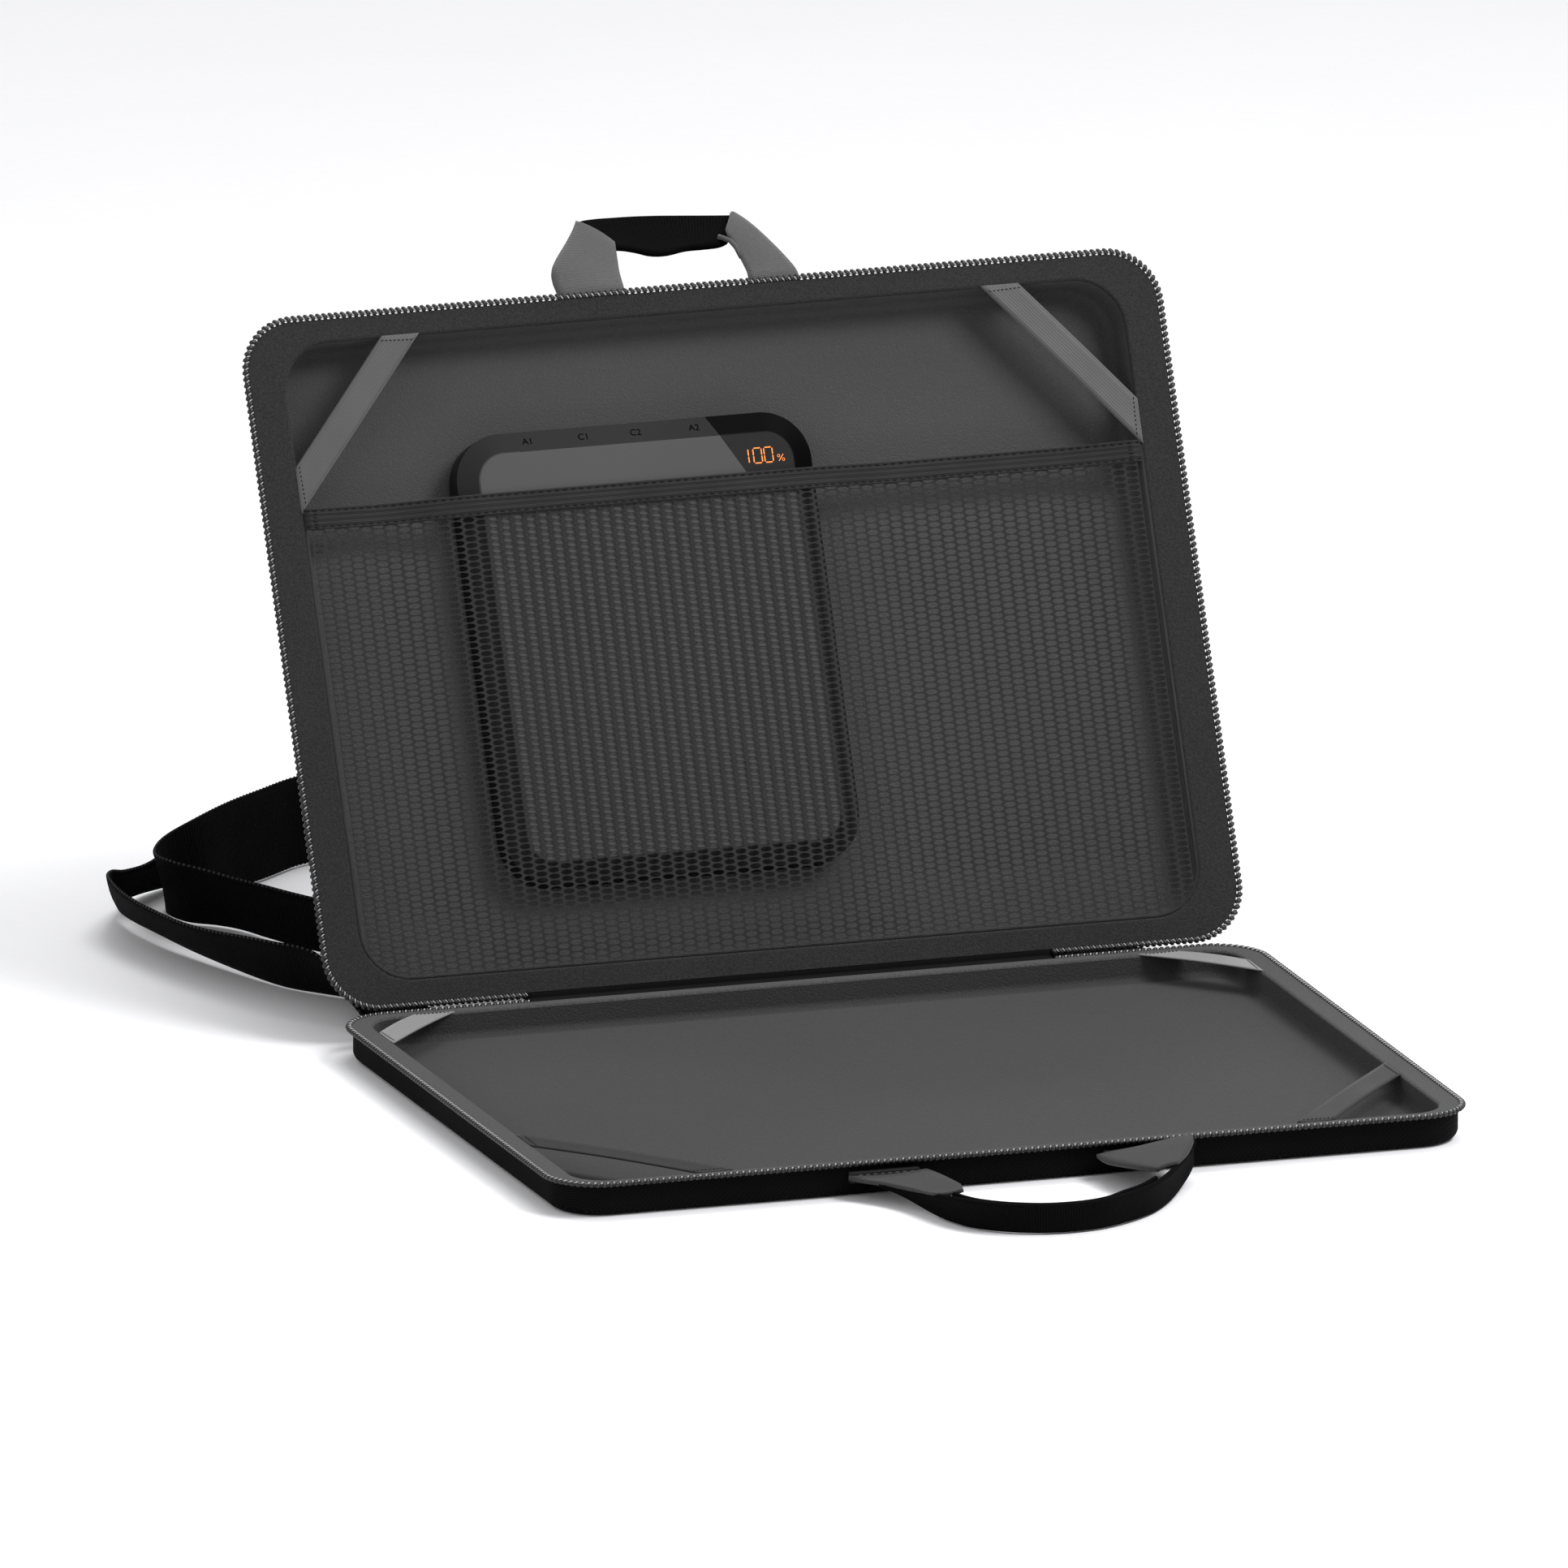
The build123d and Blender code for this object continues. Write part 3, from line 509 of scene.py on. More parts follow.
def slab(name: str, grid: list[list[Vector]], thickness: float) -> bpy.types.Object:
    """A solid sheet on a grid of points, with a map in metres.

    Args:
        name: the new object's name.
        grid: rows of points along the sheet, each row across it.
        thickness: the sheet's thickness in metres.

    Returns:
        The new object, closed, with normals outwards.
    """
    rows, cols = len(grid), len(grid[0])
    made = bmesh.new()
    layer = made.loops.layers.uv.new("Length and width")
    sides: list[list[list[bmesh.types.BMVert]]] = [[], []]
    for i in range(rows):
        strips: list[list[bmesh.types.BMVert]] = [[], []]
        for j in range(cols):
            ahead = grid[min(i + 1, rows - 1)][j] - grid[max(i - 1, 0)][j]
            aside = grid[i][min(j + 1, cols - 1)] - grid[i][max(j - 1, 0)]
            normal = ahead.cross(aside).normalized() * (thickness / 2)
            strips[0].append(made.verts.new(grid[i][j] + normal))
            strips[1].append(made.verts.new(grid[i][j] - normal))
        sides[0].append(strips[0])
        sides[1].append(strips[1])
    lengths = [0.0]
    for i in range(1, rows):
        lengths.append(lengths[-1] + (grid[i][cols // 2] - grid[i - 1][cols // 2]).length)
    widths = [0.0]
    for j in range(1, cols):
        widths.append(widths[-1] + (grid[rows // 2][j] - grid[rows // 2][j - 1]).length)

    def quad(corners: list[bmesh.types.BMVert], uvs: list[tuple[float, float]]) -> None:
        """Adds one mapped face."""
        face = made.faces.new(corners)
        face.smooth = True
        for loop, uv in zip(face.loops, uvs):
            loop[layer].uv = uv

    for i in range(rows - 1):
        for j in range(cols - 1):
            uvs = [(lengths[i], widths[j]), (lengths[i + 1], widths[j]),
                   (lengths[i + 1], widths[j + 1]), (lengths[i], widths[j + 1])]
            top, under = sides
            quad([top[i][j], top[i + 1][j], top[i + 1][j + 1], top[i][j + 1]], uvs)
            quad([under[i][j + 1], under[i + 1][j + 1], under[i + 1][j], under[i][j]],
                 [uvs[3], uvs[2], uvs[1], uvs[0]])
    rim = [(i, 0) for i in range(rows)] + [(rows - 1, j) for j in range(1, cols)]
    rim += [(i, cols - 1) for i in range(rows - 2, -1, -1)] + [(0, j) for j in range(cols - 2, 0, -1)]
    for one, two in zip(rim, rim[1:] + rim[:1]):
        corners = [sides[0][two[0]][two[1]], sides[0][one[0]][one[1]],
                   sides[1][one[0]][one[1]], sides[1][two[0]][two[1]]]
        uv_one = (lengths[one[0]], widths[one[1]])
        uv_two = (lengths[two[0]], widths[two[1]])
        quad(corners, [uv_two, uv_one, uv_one, uv_two])
    bmesh.ops.recalc_face_normals(made, faces=made.faces)
    mesh = bpy.data.meshes.new(name)
    made.to_mesh(mesh)
    made.free()
    return new_object(name, mesh)


def finish_shape(obj: bpy.types.Object) -> None:
    """Turns a piece's live modifiers into plain mesh."""
    view = bpy.context.evaluated_depsgraph_get()
    plain = bpy.data.meshes.new_from_object(obj.evaluated_get(view))
    obj.modifiers.clear()
    obj.data = plain


# ---------------------------------------------------------------- repeats


class BeadRow:
    """Beads set out along a path: coil turns, painted highlights on the coil and stitches."""

    _tree: Optional[bpy.types.NodeTree] = None

    @classmethod
    def tree(cls) -> bpy.types.NodeTree:
        """The node tree that sets the beads out, built at first use."""
        if cls._tree is None:
            cls._tree = cls._build()
        return cls._tree

    @staticmethod
    def _build() -> bpy.types.NodeTree:
        """Builds the tree: path, even points, one turned bead at each, then plain mesh."""
        tree = bpy.data.node_groups.new("Beads along a path", "GeometryNodeTree")
        face = tree.interface
        face.new_socket("Geometry", in_out="INPUT", socket_type="NodeSocketGeometry")
        for name, kind in (
            ("Pitch", "NodeSocketFloat"), ("Size", "NodeSocketVector"), ("Slant", "NodeSocketFloat"),
            ("Offset", "NodeSocketVector"), ("Facing", "NodeSocketVector"), ("Sides", "NodeSocketInt"),
            ("Material", "NodeSocketMaterial"),
        ):
            face.new_socket(name, in_out="INPUT", socket_type=kind)
        face.new_socket("Geometry", in_out="OUTPUT", socket_type="NodeSocketGeometry")
        graph = Graph(tree)
        start = graph.add("NodeGroupInput").outputs
        curve = graph.add("GeometryNodeMeshToCurve")
        graph.feed(curve.inputs[0], start["Geometry"])
        even = graph.add("GeometryNodeResampleCurve", mode="LENGTH")
        graph.feed(even.inputs["Curve"], curve.outputs[0])
        graph.feed(even.inputs["Length"], start["Pitch"])
        tangent = graph.add("GeometryNodeInputTangent").outputs[0]
        along = graph.add("FunctionNodeAlignRotationToVector", axis="X")
        graph.feed(along.inputs["Vector"], tangent)
        facing = graph.add("FunctionNodeAlignRotationToVector", axis="Z", pivot_axis="X")
        graph.feed(facing.inputs["Rotation"], along.outputs[0])
        graph.feed(facing.inputs["Vector"], start["Facing"])
        ball = graph.add("GeometryNodeMeshUVSphere")
        graph.feed(ball.inputs["Segments"], start["Sides"])
        ball.inputs["Rings"].default_value = 5
        ball.inputs["Radius"].default_value = 0.5
        turn = graph.add("ShaderNodeCombineXYZ")
        graph.feed(turn.inputs[2], start["Slant"])
        bead = graph.add("GeometryNodeTransform")
        graph.feed(bead.inputs["Geometry"], ball.outputs[0])
        graph.feed(bead.inputs["Scale"], start["Size"])
        placed = graph.add("GeometryNodeTransform")
        graph.feed(placed.inputs["Geometry"], bead.outputs[0])
        graph.feed(placed.inputs["Rotation"], turn.outputs[0])
        graph.feed(placed.inputs["Translation"], start["Offset"])
        shaded = graph.add("GeometryNodeSetShadeSmooth")
        graph.feed(shaded.inputs[0], placed.outputs[0])
        copies = graph.add("GeometryNodeInstanceOnPoints")
        graph.feed(copies.inputs["Points"], even.outputs[0])
        graph.feed(copies.inputs["Instance"], shaded.outputs[0])
        graph.feed(copies.inputs["Rotation"], facing.outputs[0])
        real = graph.add("GeometryNodeRealizeInstances")
        graph.feed(real.inputs[0], copies.outputs[0])
        painted = graph.add("GeometryNodeSetMaterial")
        graph.feed(painted.inputs["Geometry"], real.outputs[0])
        graph.feed(painted.inputs["Material"], start["Material"])
        graph.feed(graph.add("NodeGroupOutput").inputs[0], painted.outputs[0])
        return tree

    @classmethod
    def make(cls, name: str, path: Sequence[Vector], pitch: float, size: Vector, facing: Vector,
             finish: Finish, slant: float = 0.0, offset: Vector = Vector((0, 0, 0)),
             sides: int = 8) -> bpy.types.Object:
        """Sets beads along a path.

        Args:
            name: the new object's name.
            path: the points of the path.
            pitch: the distance between beads.
            size: a bead's size along, across and off the surface.
            facing: the direction off the surface.
            finish: the beads' finish.
            slant: how far each bead is turned about the facing direction, in radians.
            offset: how far each bead is moved along, across and off the surface.
            sides: how many sides each bead has.

        Returns:
            The beads as one plain mesh object.
        """
        mesh = bpy.data.meshes.new(name)
        mesh.from_pydata([tuple(p) for p in path], [(i, i + 1) for i in range(len(path) - 1)], [])
        obj = new_object(name, mesh)
        row = obj.modifiers.new("Beads", "NODES")
        row.node_group = cls.tree()
        values: dict[str, object] = {
            "Pitch": pitch, "Size": tuple(size), "Slant": slant, "Offset": tuple(offset),
            "Facing": tuple(facing), "Sides": sides, "Material": finish.material(),
        }
        for item in cls.tree().interface.items_tree:
            if item.item_type == "SOCKET" and item.in_out == "INPUT" and item.name in values:
                row[item.identifier] = values[item.name]
        finish_shape(obj)
        return obj


def join(name: str, parts: Sequence[bpy.types.Object]) -> bpy.types.Object:
    """Joins plain mesh objects into the first one.

    Args:
        name: the joined object's name.
        parts: the objects, each at the origin.

    Returns:
        The joined object.
    """
    made = bmesh.new()
    finishes: list[bpy.types.Material] = []
    for part in parts:
        start = len(made.faces)
        made.from_mesh(part.data)
        made.faces.ensure_lookup_table()
        slots = []
        for material in part.data.materials:
            if material not in finishes:
                finishes.append(material)
            slots.append(finishes.index(material))
        for face in made.faces[start:]:
            face.material_index = slots[min(face.material_index, len(slots) - 1)] if slots else 0
    mesh = bpy.data.meshes.new(name)
    made.to_mesh(mesh)
    made.free()
    for material in finishes:
        mesh.materials.append(material)
    for part in parts:
        bpy.data.objects.remove(part)
    return new_object(name, mesh)


# ---------------------------------------------------------------- the zip


def rim_path(case: CaseFrame, inset: float, lid: bool, lift: float, gap: float) -> list[Vector]:
    """A line round a rim, open over the middle of the spine.

    Args:
        case: the case's frame.
        inset: how far inside the rim's outline the line runs.
        lid: whether it is the lid's rim.
        lift: how far off the plane between the halves it runs.
        gap: half the length left open on the spine.

    Returns:
        The line's points, from one side of the opening round to the other.
    """
    half_w, half_d = case.width / 2 - inset, case.depth / 2 - inset
    radius = 0.023 - inset
    middle = case.depth / 2
    flat: list[tuple[float, float]] = [(gap, half_d)]
    for cx, cy, start in (
        (half_w - radius, half_d - radius, 90), (half_w - radius, -half_d + radius, 0),
        (-half_w + radius, -half_d + radius, -90), (-half_w + radius, half_d - radius, -180),
    ):
        for k in range(13):
            turn = math.radians(start - 90 * k / 12)
            flat.append((cx + radius * math.cos(turn), cy + radius * math.sin(turn)))
    flat.append((-gap, half_d))
    if lid:
        return [case.on_lid(x, middle - y, lift) for x, y in flat]
    return [case.on_tray(x, y - middle, -lift) for x, y in flat]


@dataclass
class ZipRow:
    """One row of the zip: coil turns with a light grey bead laid over each as a painted highlight."""

    case: CaseFrame
    lid: bool
    pitch: float = 0.0026
    turn: tuple[float, float, float] = (0.0022, 0.0034, 0.0022)
    inset: float = 0.0013
    gap: float = 0.1125
    slant: float = 0.62

    def build(self) -> bpy.types.Object:
        """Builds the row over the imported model's plain ring.

        Returns:
            The row, riding on its body.
        """
        node = "lid_zip_coil" if self.lid else "tray_zip_coil"
        path = rim_path(self.case, self.inset, self.lid, 0.0013, self.gap)
        facing = -self.case.out if self.lid else Vector((0, 0, 1))
        side = 1.0 if self.lid else -1.0
        coil = BeadRow.make(
            node + "_turns", path, self.pitch, Vector(self.turn), facing, COIL_NYLON,
            slant=side * self.slant, sides=8,
        )
        glint = BeadRow.make(
            # Painted highlight: a light grey bead beside each turn.
            node + "_thread", path, self.pitch, Vector((0.00055, 0.0019, 0.0010)), facing, COIL_GLINT,
            slant=side * self.slant, offset=Vector((self.pitch * 0.45, side * 0.00035, 0.00058)), sides=7,
        )
        core = round_line(node + "_core", path, 0.0007, 6)
        dress(core, COIL_NYLON)
        row = join(node + "_row", [coil, glint, core])
        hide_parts(node)
        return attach(row, (Body.LID if self.lid else Body.TRAY).value)


def round_line(name: str, path: Sequence[Vector], radius: float, sides: int) -> bpy.types.Object:
    """A round cord along a path, closed at both ends.

    Args:
        name: the new object's name.
        path: its points.
        radius: its radius.
        sides: how many sides its section has.

    Returns:
        The new object.
    """
    made = bmesh.new()
    rings: list[list[bmesh.types.BMVert]] = []
    for i, point in enumerate(path):
        along = (path[min(i + 1, len(path) - 1)] - path[max(i - 1, 0)]).normalized()
        aside = along.cross(Vector((0.31, 0.2, 0.93))).normalized()
        third = along.cross(aside)
        rings.append([
            made.verts.new(point + (aside * math.cos(a) + third * math.sin(a)) * radius)
            for a in (2 * math.pi * k / sides for k in range(sides))
        ])
    for one, two in zip(rings, rings[1:]):
        for k in range(sides):
            n = (k + 1) % sides
            made.faces.new([one[k], one[n], two[n], two[k]]).smooth = True
    made.faces.new(rings[0])
    made.faces.new(rings[-1])
    bmesh.ops.recalc_face_normals(made, faces=made.faces)
    mesh = bpy.data.meshes.new(name)
    made.to_mesh(mesh)
    made.free()
    return new_object(name, mesh)


# ---------------------------------------------------------------- the lid's pocket


def pocket_bulge(x: float, rise: float) -> float:
    """How far the energy store pushes the pocket forward of the recess mouth.

    Args:
        x: place across the lid.
        rise: height up the lid from the hinge line.

    Returns:
        The push, from 0 to 1.
    """
    left, right = -0.111, 0.041
    low, high = 0.010, 0.215

    def ease(value: float, start: float, end: float) -> float:
        """A smooth step from 0 to 1."""
        t = min(max((value - start) / (end - start), 0.0), 1.0)
        return t * t * (3 - 2 * t)

    across = ease(x, left - 0.034, left + 0.006) * (1 - ease(x, right - 0.006, right + 0.034))
    up = ease(rise, low, low + 0.012) * (1 - ease(rise, high, high + 0.03) * 0.2)
    return across * up


@dataclass
class MeshPocket:
    """The mesh pocket that holds the energy store, with its ribbed hem."""

    case: CaseFrame
    half_width: float = 0.1768
    low: float = 0.0122
    top: float = 0.1975
    hem_high: float = 0.0085
    column: float = 0.0053
    row: float = 0.0026
    hole: tuple[float, float] = (0.0048, 0.00215)
    thickness: float = 0.0004
    forward: float = 0.0009
    sunk: float = 0.0044
    fabric_area: float = 0.0
    ribs: int = 4

    def depth_at(self, x: float, rise: float) -> float:
        """How far behind the mouth plane the cloth lies: it sags between its edges."""
        side = min(1.0, (self.half_width - abs(x)) / 0.03)
        foot = min(1.0, (rise - self.low) / 0.025)
        sag = self.sunk * max(side, 0.0) * max(foot, 0.0) * 0.75
        base = 0.0013 + sag
        return base + (self.forward - base) * pocket_bulge(x, rise)

    def tile_tree(self) -> bpy.types.NodeTree:
        """Builds the tree that repeats one holed tile over the pocket.

        Returns:
            The node tree, with the grid's counts and pitches as named inputs.
        """
        tree = bpy.data.node_groups.new("Mesh tiles", "GeometryNodeTree")
        face = tree.interface
        face.new_socket("Geometry", in_out="INPUT", socket_type="NodeSocketGeometry")
        for name, kind in (("Columns", "NodeSocketInt"), ("Rows", "NodeSocketInt"),
                           ("Column pitch", "NodeSocketFloat"), ("Row pitch", "NodeSocketFloat"),
                           ("Material", "NodeSocketMaterial")):
            face.new_socket(name, in_out="INPUT", socket_type=kind)
        face.new_socket("Geometry", in_out="OUTPUT", socket_type="NodeSocketGeometry")
        graph = Graph(tree)
        start = graph.add("NodeGroupInput").outputs
        columns, rows = start["Columns"], start["Rows"]
        total = graph.math("MULTIPLY", columns, rows)
        points = graph.add("GeometryNodePoints")
        graph.feed(points.inputs["Count"], total)
        index = graph.add("GeometryNodeInputIndex").outputs[0]
        col = graph.math("FLOOR", graph.math("DIVIDE", index, rows))
        row = graph.math("SUBTRACT", index, graph.math("MULTIPLY", col, rows))
        odd = graph.math("FLOORED_MODULO", col, 2.0)
        x = graph.math("MULTIPLY", col, start["Column pitch"])
        y = graph.math("MULTIPLY", graph.math("MULTIPLY_ADD", odd, 0.5, row), start["Row pitch"])
        place = graph.add("ShaderNodeCombineXYZ")
        graph.feed(place.inputs[0], x)
        graph.feed(place.inputs[1], y)
        moved = graph.add("GeometryNodeSetPosition")
        graph.feed(moved.inputs["Geometry"], points.outputs[0])
        graph.feed(moved.inputs["Position"], place.outputs[0])
        copies = graph.add("GeometryNodeInstanceOnPoints")
        graph.feed(copies.inputs["Points"], moved.outputs[0])
        graph.feed(copies.inputs["Instance"], start["Geometry"])
        real = graph.add("GeometryNodeRealizeInstances")
        graph.feed(real.inputs[0], copies.outputs[0])
        painted = graph.add("GeometryNodeSetMaterial")
        graph.feed(painted.inputs["Geometry"], real.outputs[0])
        graph.feed(painted.inputs["Material"], start["Material"])
        graph.feed(graph.add("NodeGroupOutput").inputs[0], painted.outputs[0])
        return tree

    def tile(self) -> bpy.types.Object:
        """One tile of cloth round one oval hole, drawn flat."""
        made = bmesh.new()
        half_x, half_y = self.column / 2, self.row / 2
        rim = [(-1, -1), (-0.4, -1), (0, -1), (0.4, -1), (1, -1), (1, 0),
               (1, 1), (0.4, 1), (0, 1), (-0.4, 1), (-1, 1), (-1, 0)]
        outer = [made.verts.new((x * half_x, y * half_y, 0)) for x, y in rim]
        inner = []
        for x, y in rim:
            turn = math.atan2(y, x * 1.2)
            inner.append(made.verts.new((math.cos(turn) * self.hole[0] / 2, math.sin(turn) * self.hole[1] / 2, 0)))
        for k in range(len(rim)):
            n = (k + 1) % len(rim)
            made.faces.new([outer[k], outer[n], inner[n], inner[k]])
        mesh = bpy.data.meshes.new("Mesh tile")
        made.to_mesh(mesh)
        made.free()
        return new_object("Mesh tile", mesh)

    def cloth(self) -> bpy.types.Object:
        """Builds the mesh cloth and bends it over the energy store.

        Returns:
            The cloth.
        """
        columns = int(2 * self.half_width / self.column)
        rows = int((self.top - self.low) / self.row)
        obj = self.tile()
        obj.name = "pocket_mesh"
        grid = obj.modifiers.new("Tiles", "NODES")
        grid.node_group = self.tile_tree()
        values: dict[str, object] = {
            "Columns": columns, "Rows": rows, "Column pitch": self.column, "Row pitch": self.row,
            "Material": MESH_YARN.material(),
        }
        for item in grid.node_group.interface.items_tree:
            if item.item_type == "SOCKET" and item.in_out == "INPUT" and item.name in values:
                grid[item.identifier] = values[item.name]
        finish_shape(obj)
        made = bmesh.new()
        made.from_mesh(obj.data)
        bmesh.ops.remove_doubles(made, verts=made.verts, dist=0.00004)
        self.fabric_area = sum(f.calc_area() for f in made.faces)
        left = -columns * self.column / 2 + self.column / 2
        for vert in made.verts:
            x, rise = vert.co.x + left, vert.co.y + self.low + self.row / 2
            rise = min(rise, self.top + self.row)
            vert.co = self.case.on_lid(x, rise, self.depth_at(x, rise))
        for f in made.faces:
            f.smooth = True
        bmesh.ops.recalc_face_normals(made, faces=made.faces)
        made.faces.ensure_lookup_table()
        if made.faces[len(made.faces) // 2].normal.dot(self.case.out) > 0:
            bmesh.ops.reverse_faces(made, faces=made.faces)
        made.to_mesh(obj.data)
        made.free()
        return obj

    def hem(self) -> bpy.types.Object:
        """Builds the ribbed elastic hem along the pocket's mouth.

        Returns:
            The hem.
        """
        across = 4 * self.ribs + 1
        grid: list[list[Vector]] = []
        for i in range(121):
            x = -self.half_width - 0.0003 + 2 * (self.half_width + 0.0003) * i / 120
            line: list[Vector] = []
            for j in range(across):
                t = j / (across - 1)
                rise = self.top - 0.0006 + self.hem_high * t
                rib = 0.00022 * math.cos(2 * math.pi * self.ribs * t)
                base = self.depth_at(x, self.top)
                line.append(self.case.on_lid(x, rise, base - 0.0003 - rib))
            grid.append(line)
        made = slab("pocket_hem_ribbed", grid, 0.0007)
        dress(made, HEM_CLOTH)
        return made

    def hem_line(self, rise: float, lift: float, start: float, end: float) -> list[Vector]:
        """A line along the hem at one height, for stitches."""
        count = max(int(abs(end - start) / 0.004), 2)
        return [
            self.case.on_lid(x, rise, self.depth_at(x, self.top) - lift)
            for x in (start + (end - start) * i / count for i in range(count + 1))
        ]

    def stitches(self) -> bpy.types.Object:
        """Sewn dashes along the hem and tacks at both its ends.

        Returns:
            All the stitches as one object.
        """
        facing = -self.case.out
        size = Vector((0.0023, 0.00042, 0.00035))
        edge = self.half_width - 0.001
        rows = [
            BeadRow.make("hem_stitch_low", self.hem_line(self.top + 0.0004, 0.0008, -edge, edge), 0.0034, size,
                         facing, STITCH_BLACK, sides=6),
            BeadRow.make("hem_stitch_high", self.hem_line(self.top + 0.0069, 0.0008, -edge, edge), 0.0034, size,
                         facing, STITCH_BLACK, sides=6),
        ]
        for side in (-1, 1):
            x = side * (self.half_width - 0.004)
            tack = [self.case.on_lid(x, self.top + k * 0.001, self.depth_at(x, self.top) - 0.0008) for k in range(8)]
            rows.append(BeadRow.make(f"hem_tack_{side}", tack, 0.0012, Vector((0.0006, 0.0022, 0.0004)), facing,
                                     STITCH_BLACK, sides=6))
        return join("pocket_stitching", rows)

    def seam(self) -> bpy.types.Object:
        """The bound seam that holds the pocket's sides and foot in the recess."""
        edge, foot, radius = self.half_width + 0.0004, self.low + 0.0002, 0.02
        flat = [(-edge, self.top + 0.006)]
        for side in (-1, 1):
            turns = range(0, 10) if side < 0 else range(9, -1, -1)
            for k in turns:
                turn = math.radians(10 * k)
                flat.append((side * (edge - radius + radius * math.cos(turn)), foot + radius - radius * math.sin(turn)))
        flat.append((edge, self.top + 0.006))
        path = [Vector((x, v, 0)) for x, v in flat]
        grid = []
        for i, p in enumerate(path):
            along = (path[min(i + 1, len(path) - 1)] - path[max(i - 1, 0)]).normalized()
            aside = Vector((-along.y, along.x, 0)) * 0.0006
            grid.append([self.case.on_lid(q.x, q.y, 0.0017) for q in (p - aside, p, p + aside)])
        made = slab("pocket_seam", grid, 0.0007)
        dress(made, HEM_CLOTH)
        return made

    def build(self) -> None:
        """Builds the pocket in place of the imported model's plain sheets."""
        cloth, hem, stitches, seam = self.cloth(), self.hem(), self.stitches(), self.seam()
        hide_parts("mesh_pocket")
        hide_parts("pocket_hem")
        for piece in (cloth, hem, stitches, seam):
            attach(piece, Body.LID.value)


# ---------------------------------------------------------------- webbing and elastic


@dataclass
class Ribbon:
    """A flat strip of webbing or elastic between two edges."""

    name: str
    edges: Sequence[tuple[Vector, Vector]]
    thickness: float
    finish: Finish
    smoothing: int = 5
    across: int = 6
    bow: float = 0.0

    def build(self) -> bpy.types.Object:
        """Builds the strip: a smooth line through each edge, then rows between them.

        Returns:
            The strip as a closed piece.
        """
        one = between([a for a, _ in self.edges], self.smoothing)
        two = between([b for _, b in self.edges], self.smoothing)
        grid: list[list[Vector]] = []
        for i, (a, b) in enumerate(zip(one, two)):
            ahead = (one[min(i + 1, len(one) - 1)] + two[min(i + 1, len(two) - 1)]) / 2
            behind = (one[max(i - 1, 0)] + two[max(i - 1, 0)]) / 2
            normal = (ahead - behind).cross(b - a).normalized()
            line = []
            for j in range(self.across + 1):
                t = j / self.across
                push = self.bow * 4 * t * (1 - t)
                line.append(a.lerp(b, t) + normal * push)
            grid.append(line)
        made = slab(self.name, grid, self.thickness)
        dress(made, self.finish)
        return made

    def size(self) -> tuple[float, float]:
        """The strip's mean width, square to its run, and its length."""
        one = between([a for a, _ in self.edges], self.smoothing)
        two = between([b for _, b in self.edges], self.smoothing)
        mid = [(a + b) / 2 for a, b in zip(one, two)]
        runs = [q - p for p, q in zip(mid, mid[1:])]
        length = sum(run.length for run in runs)
        area = sum(run.cross(b - a).length for run, a, b in zip(runs, one, two))
        return area / length, length


def edge_stitches(name: str, path: Sequence[Vector], facing: Vector, finish: Finish,
                  pitch: float = 0.003) -> bpy.types.Object:
    """A row of lockstitches along a line."""
    return BeadRow.make(name, path, pitch, Vector((pitch * 0.68, 0.0005, 0.00045)), facing, finish, sides=6)


@dataclass(frozen=True)
class Cut:
    """A straight cut across the end of a band: the place where a coordinate has a value."""

    axis: Vector
    value: float

    def slide(self, point: Vector, along: Vector) -> Vector:
        """Moves a point along a direction until it lies on the cut."""
        return point + along * ((self.value - point.dot(self.axis)) / along.dot(self.axis))


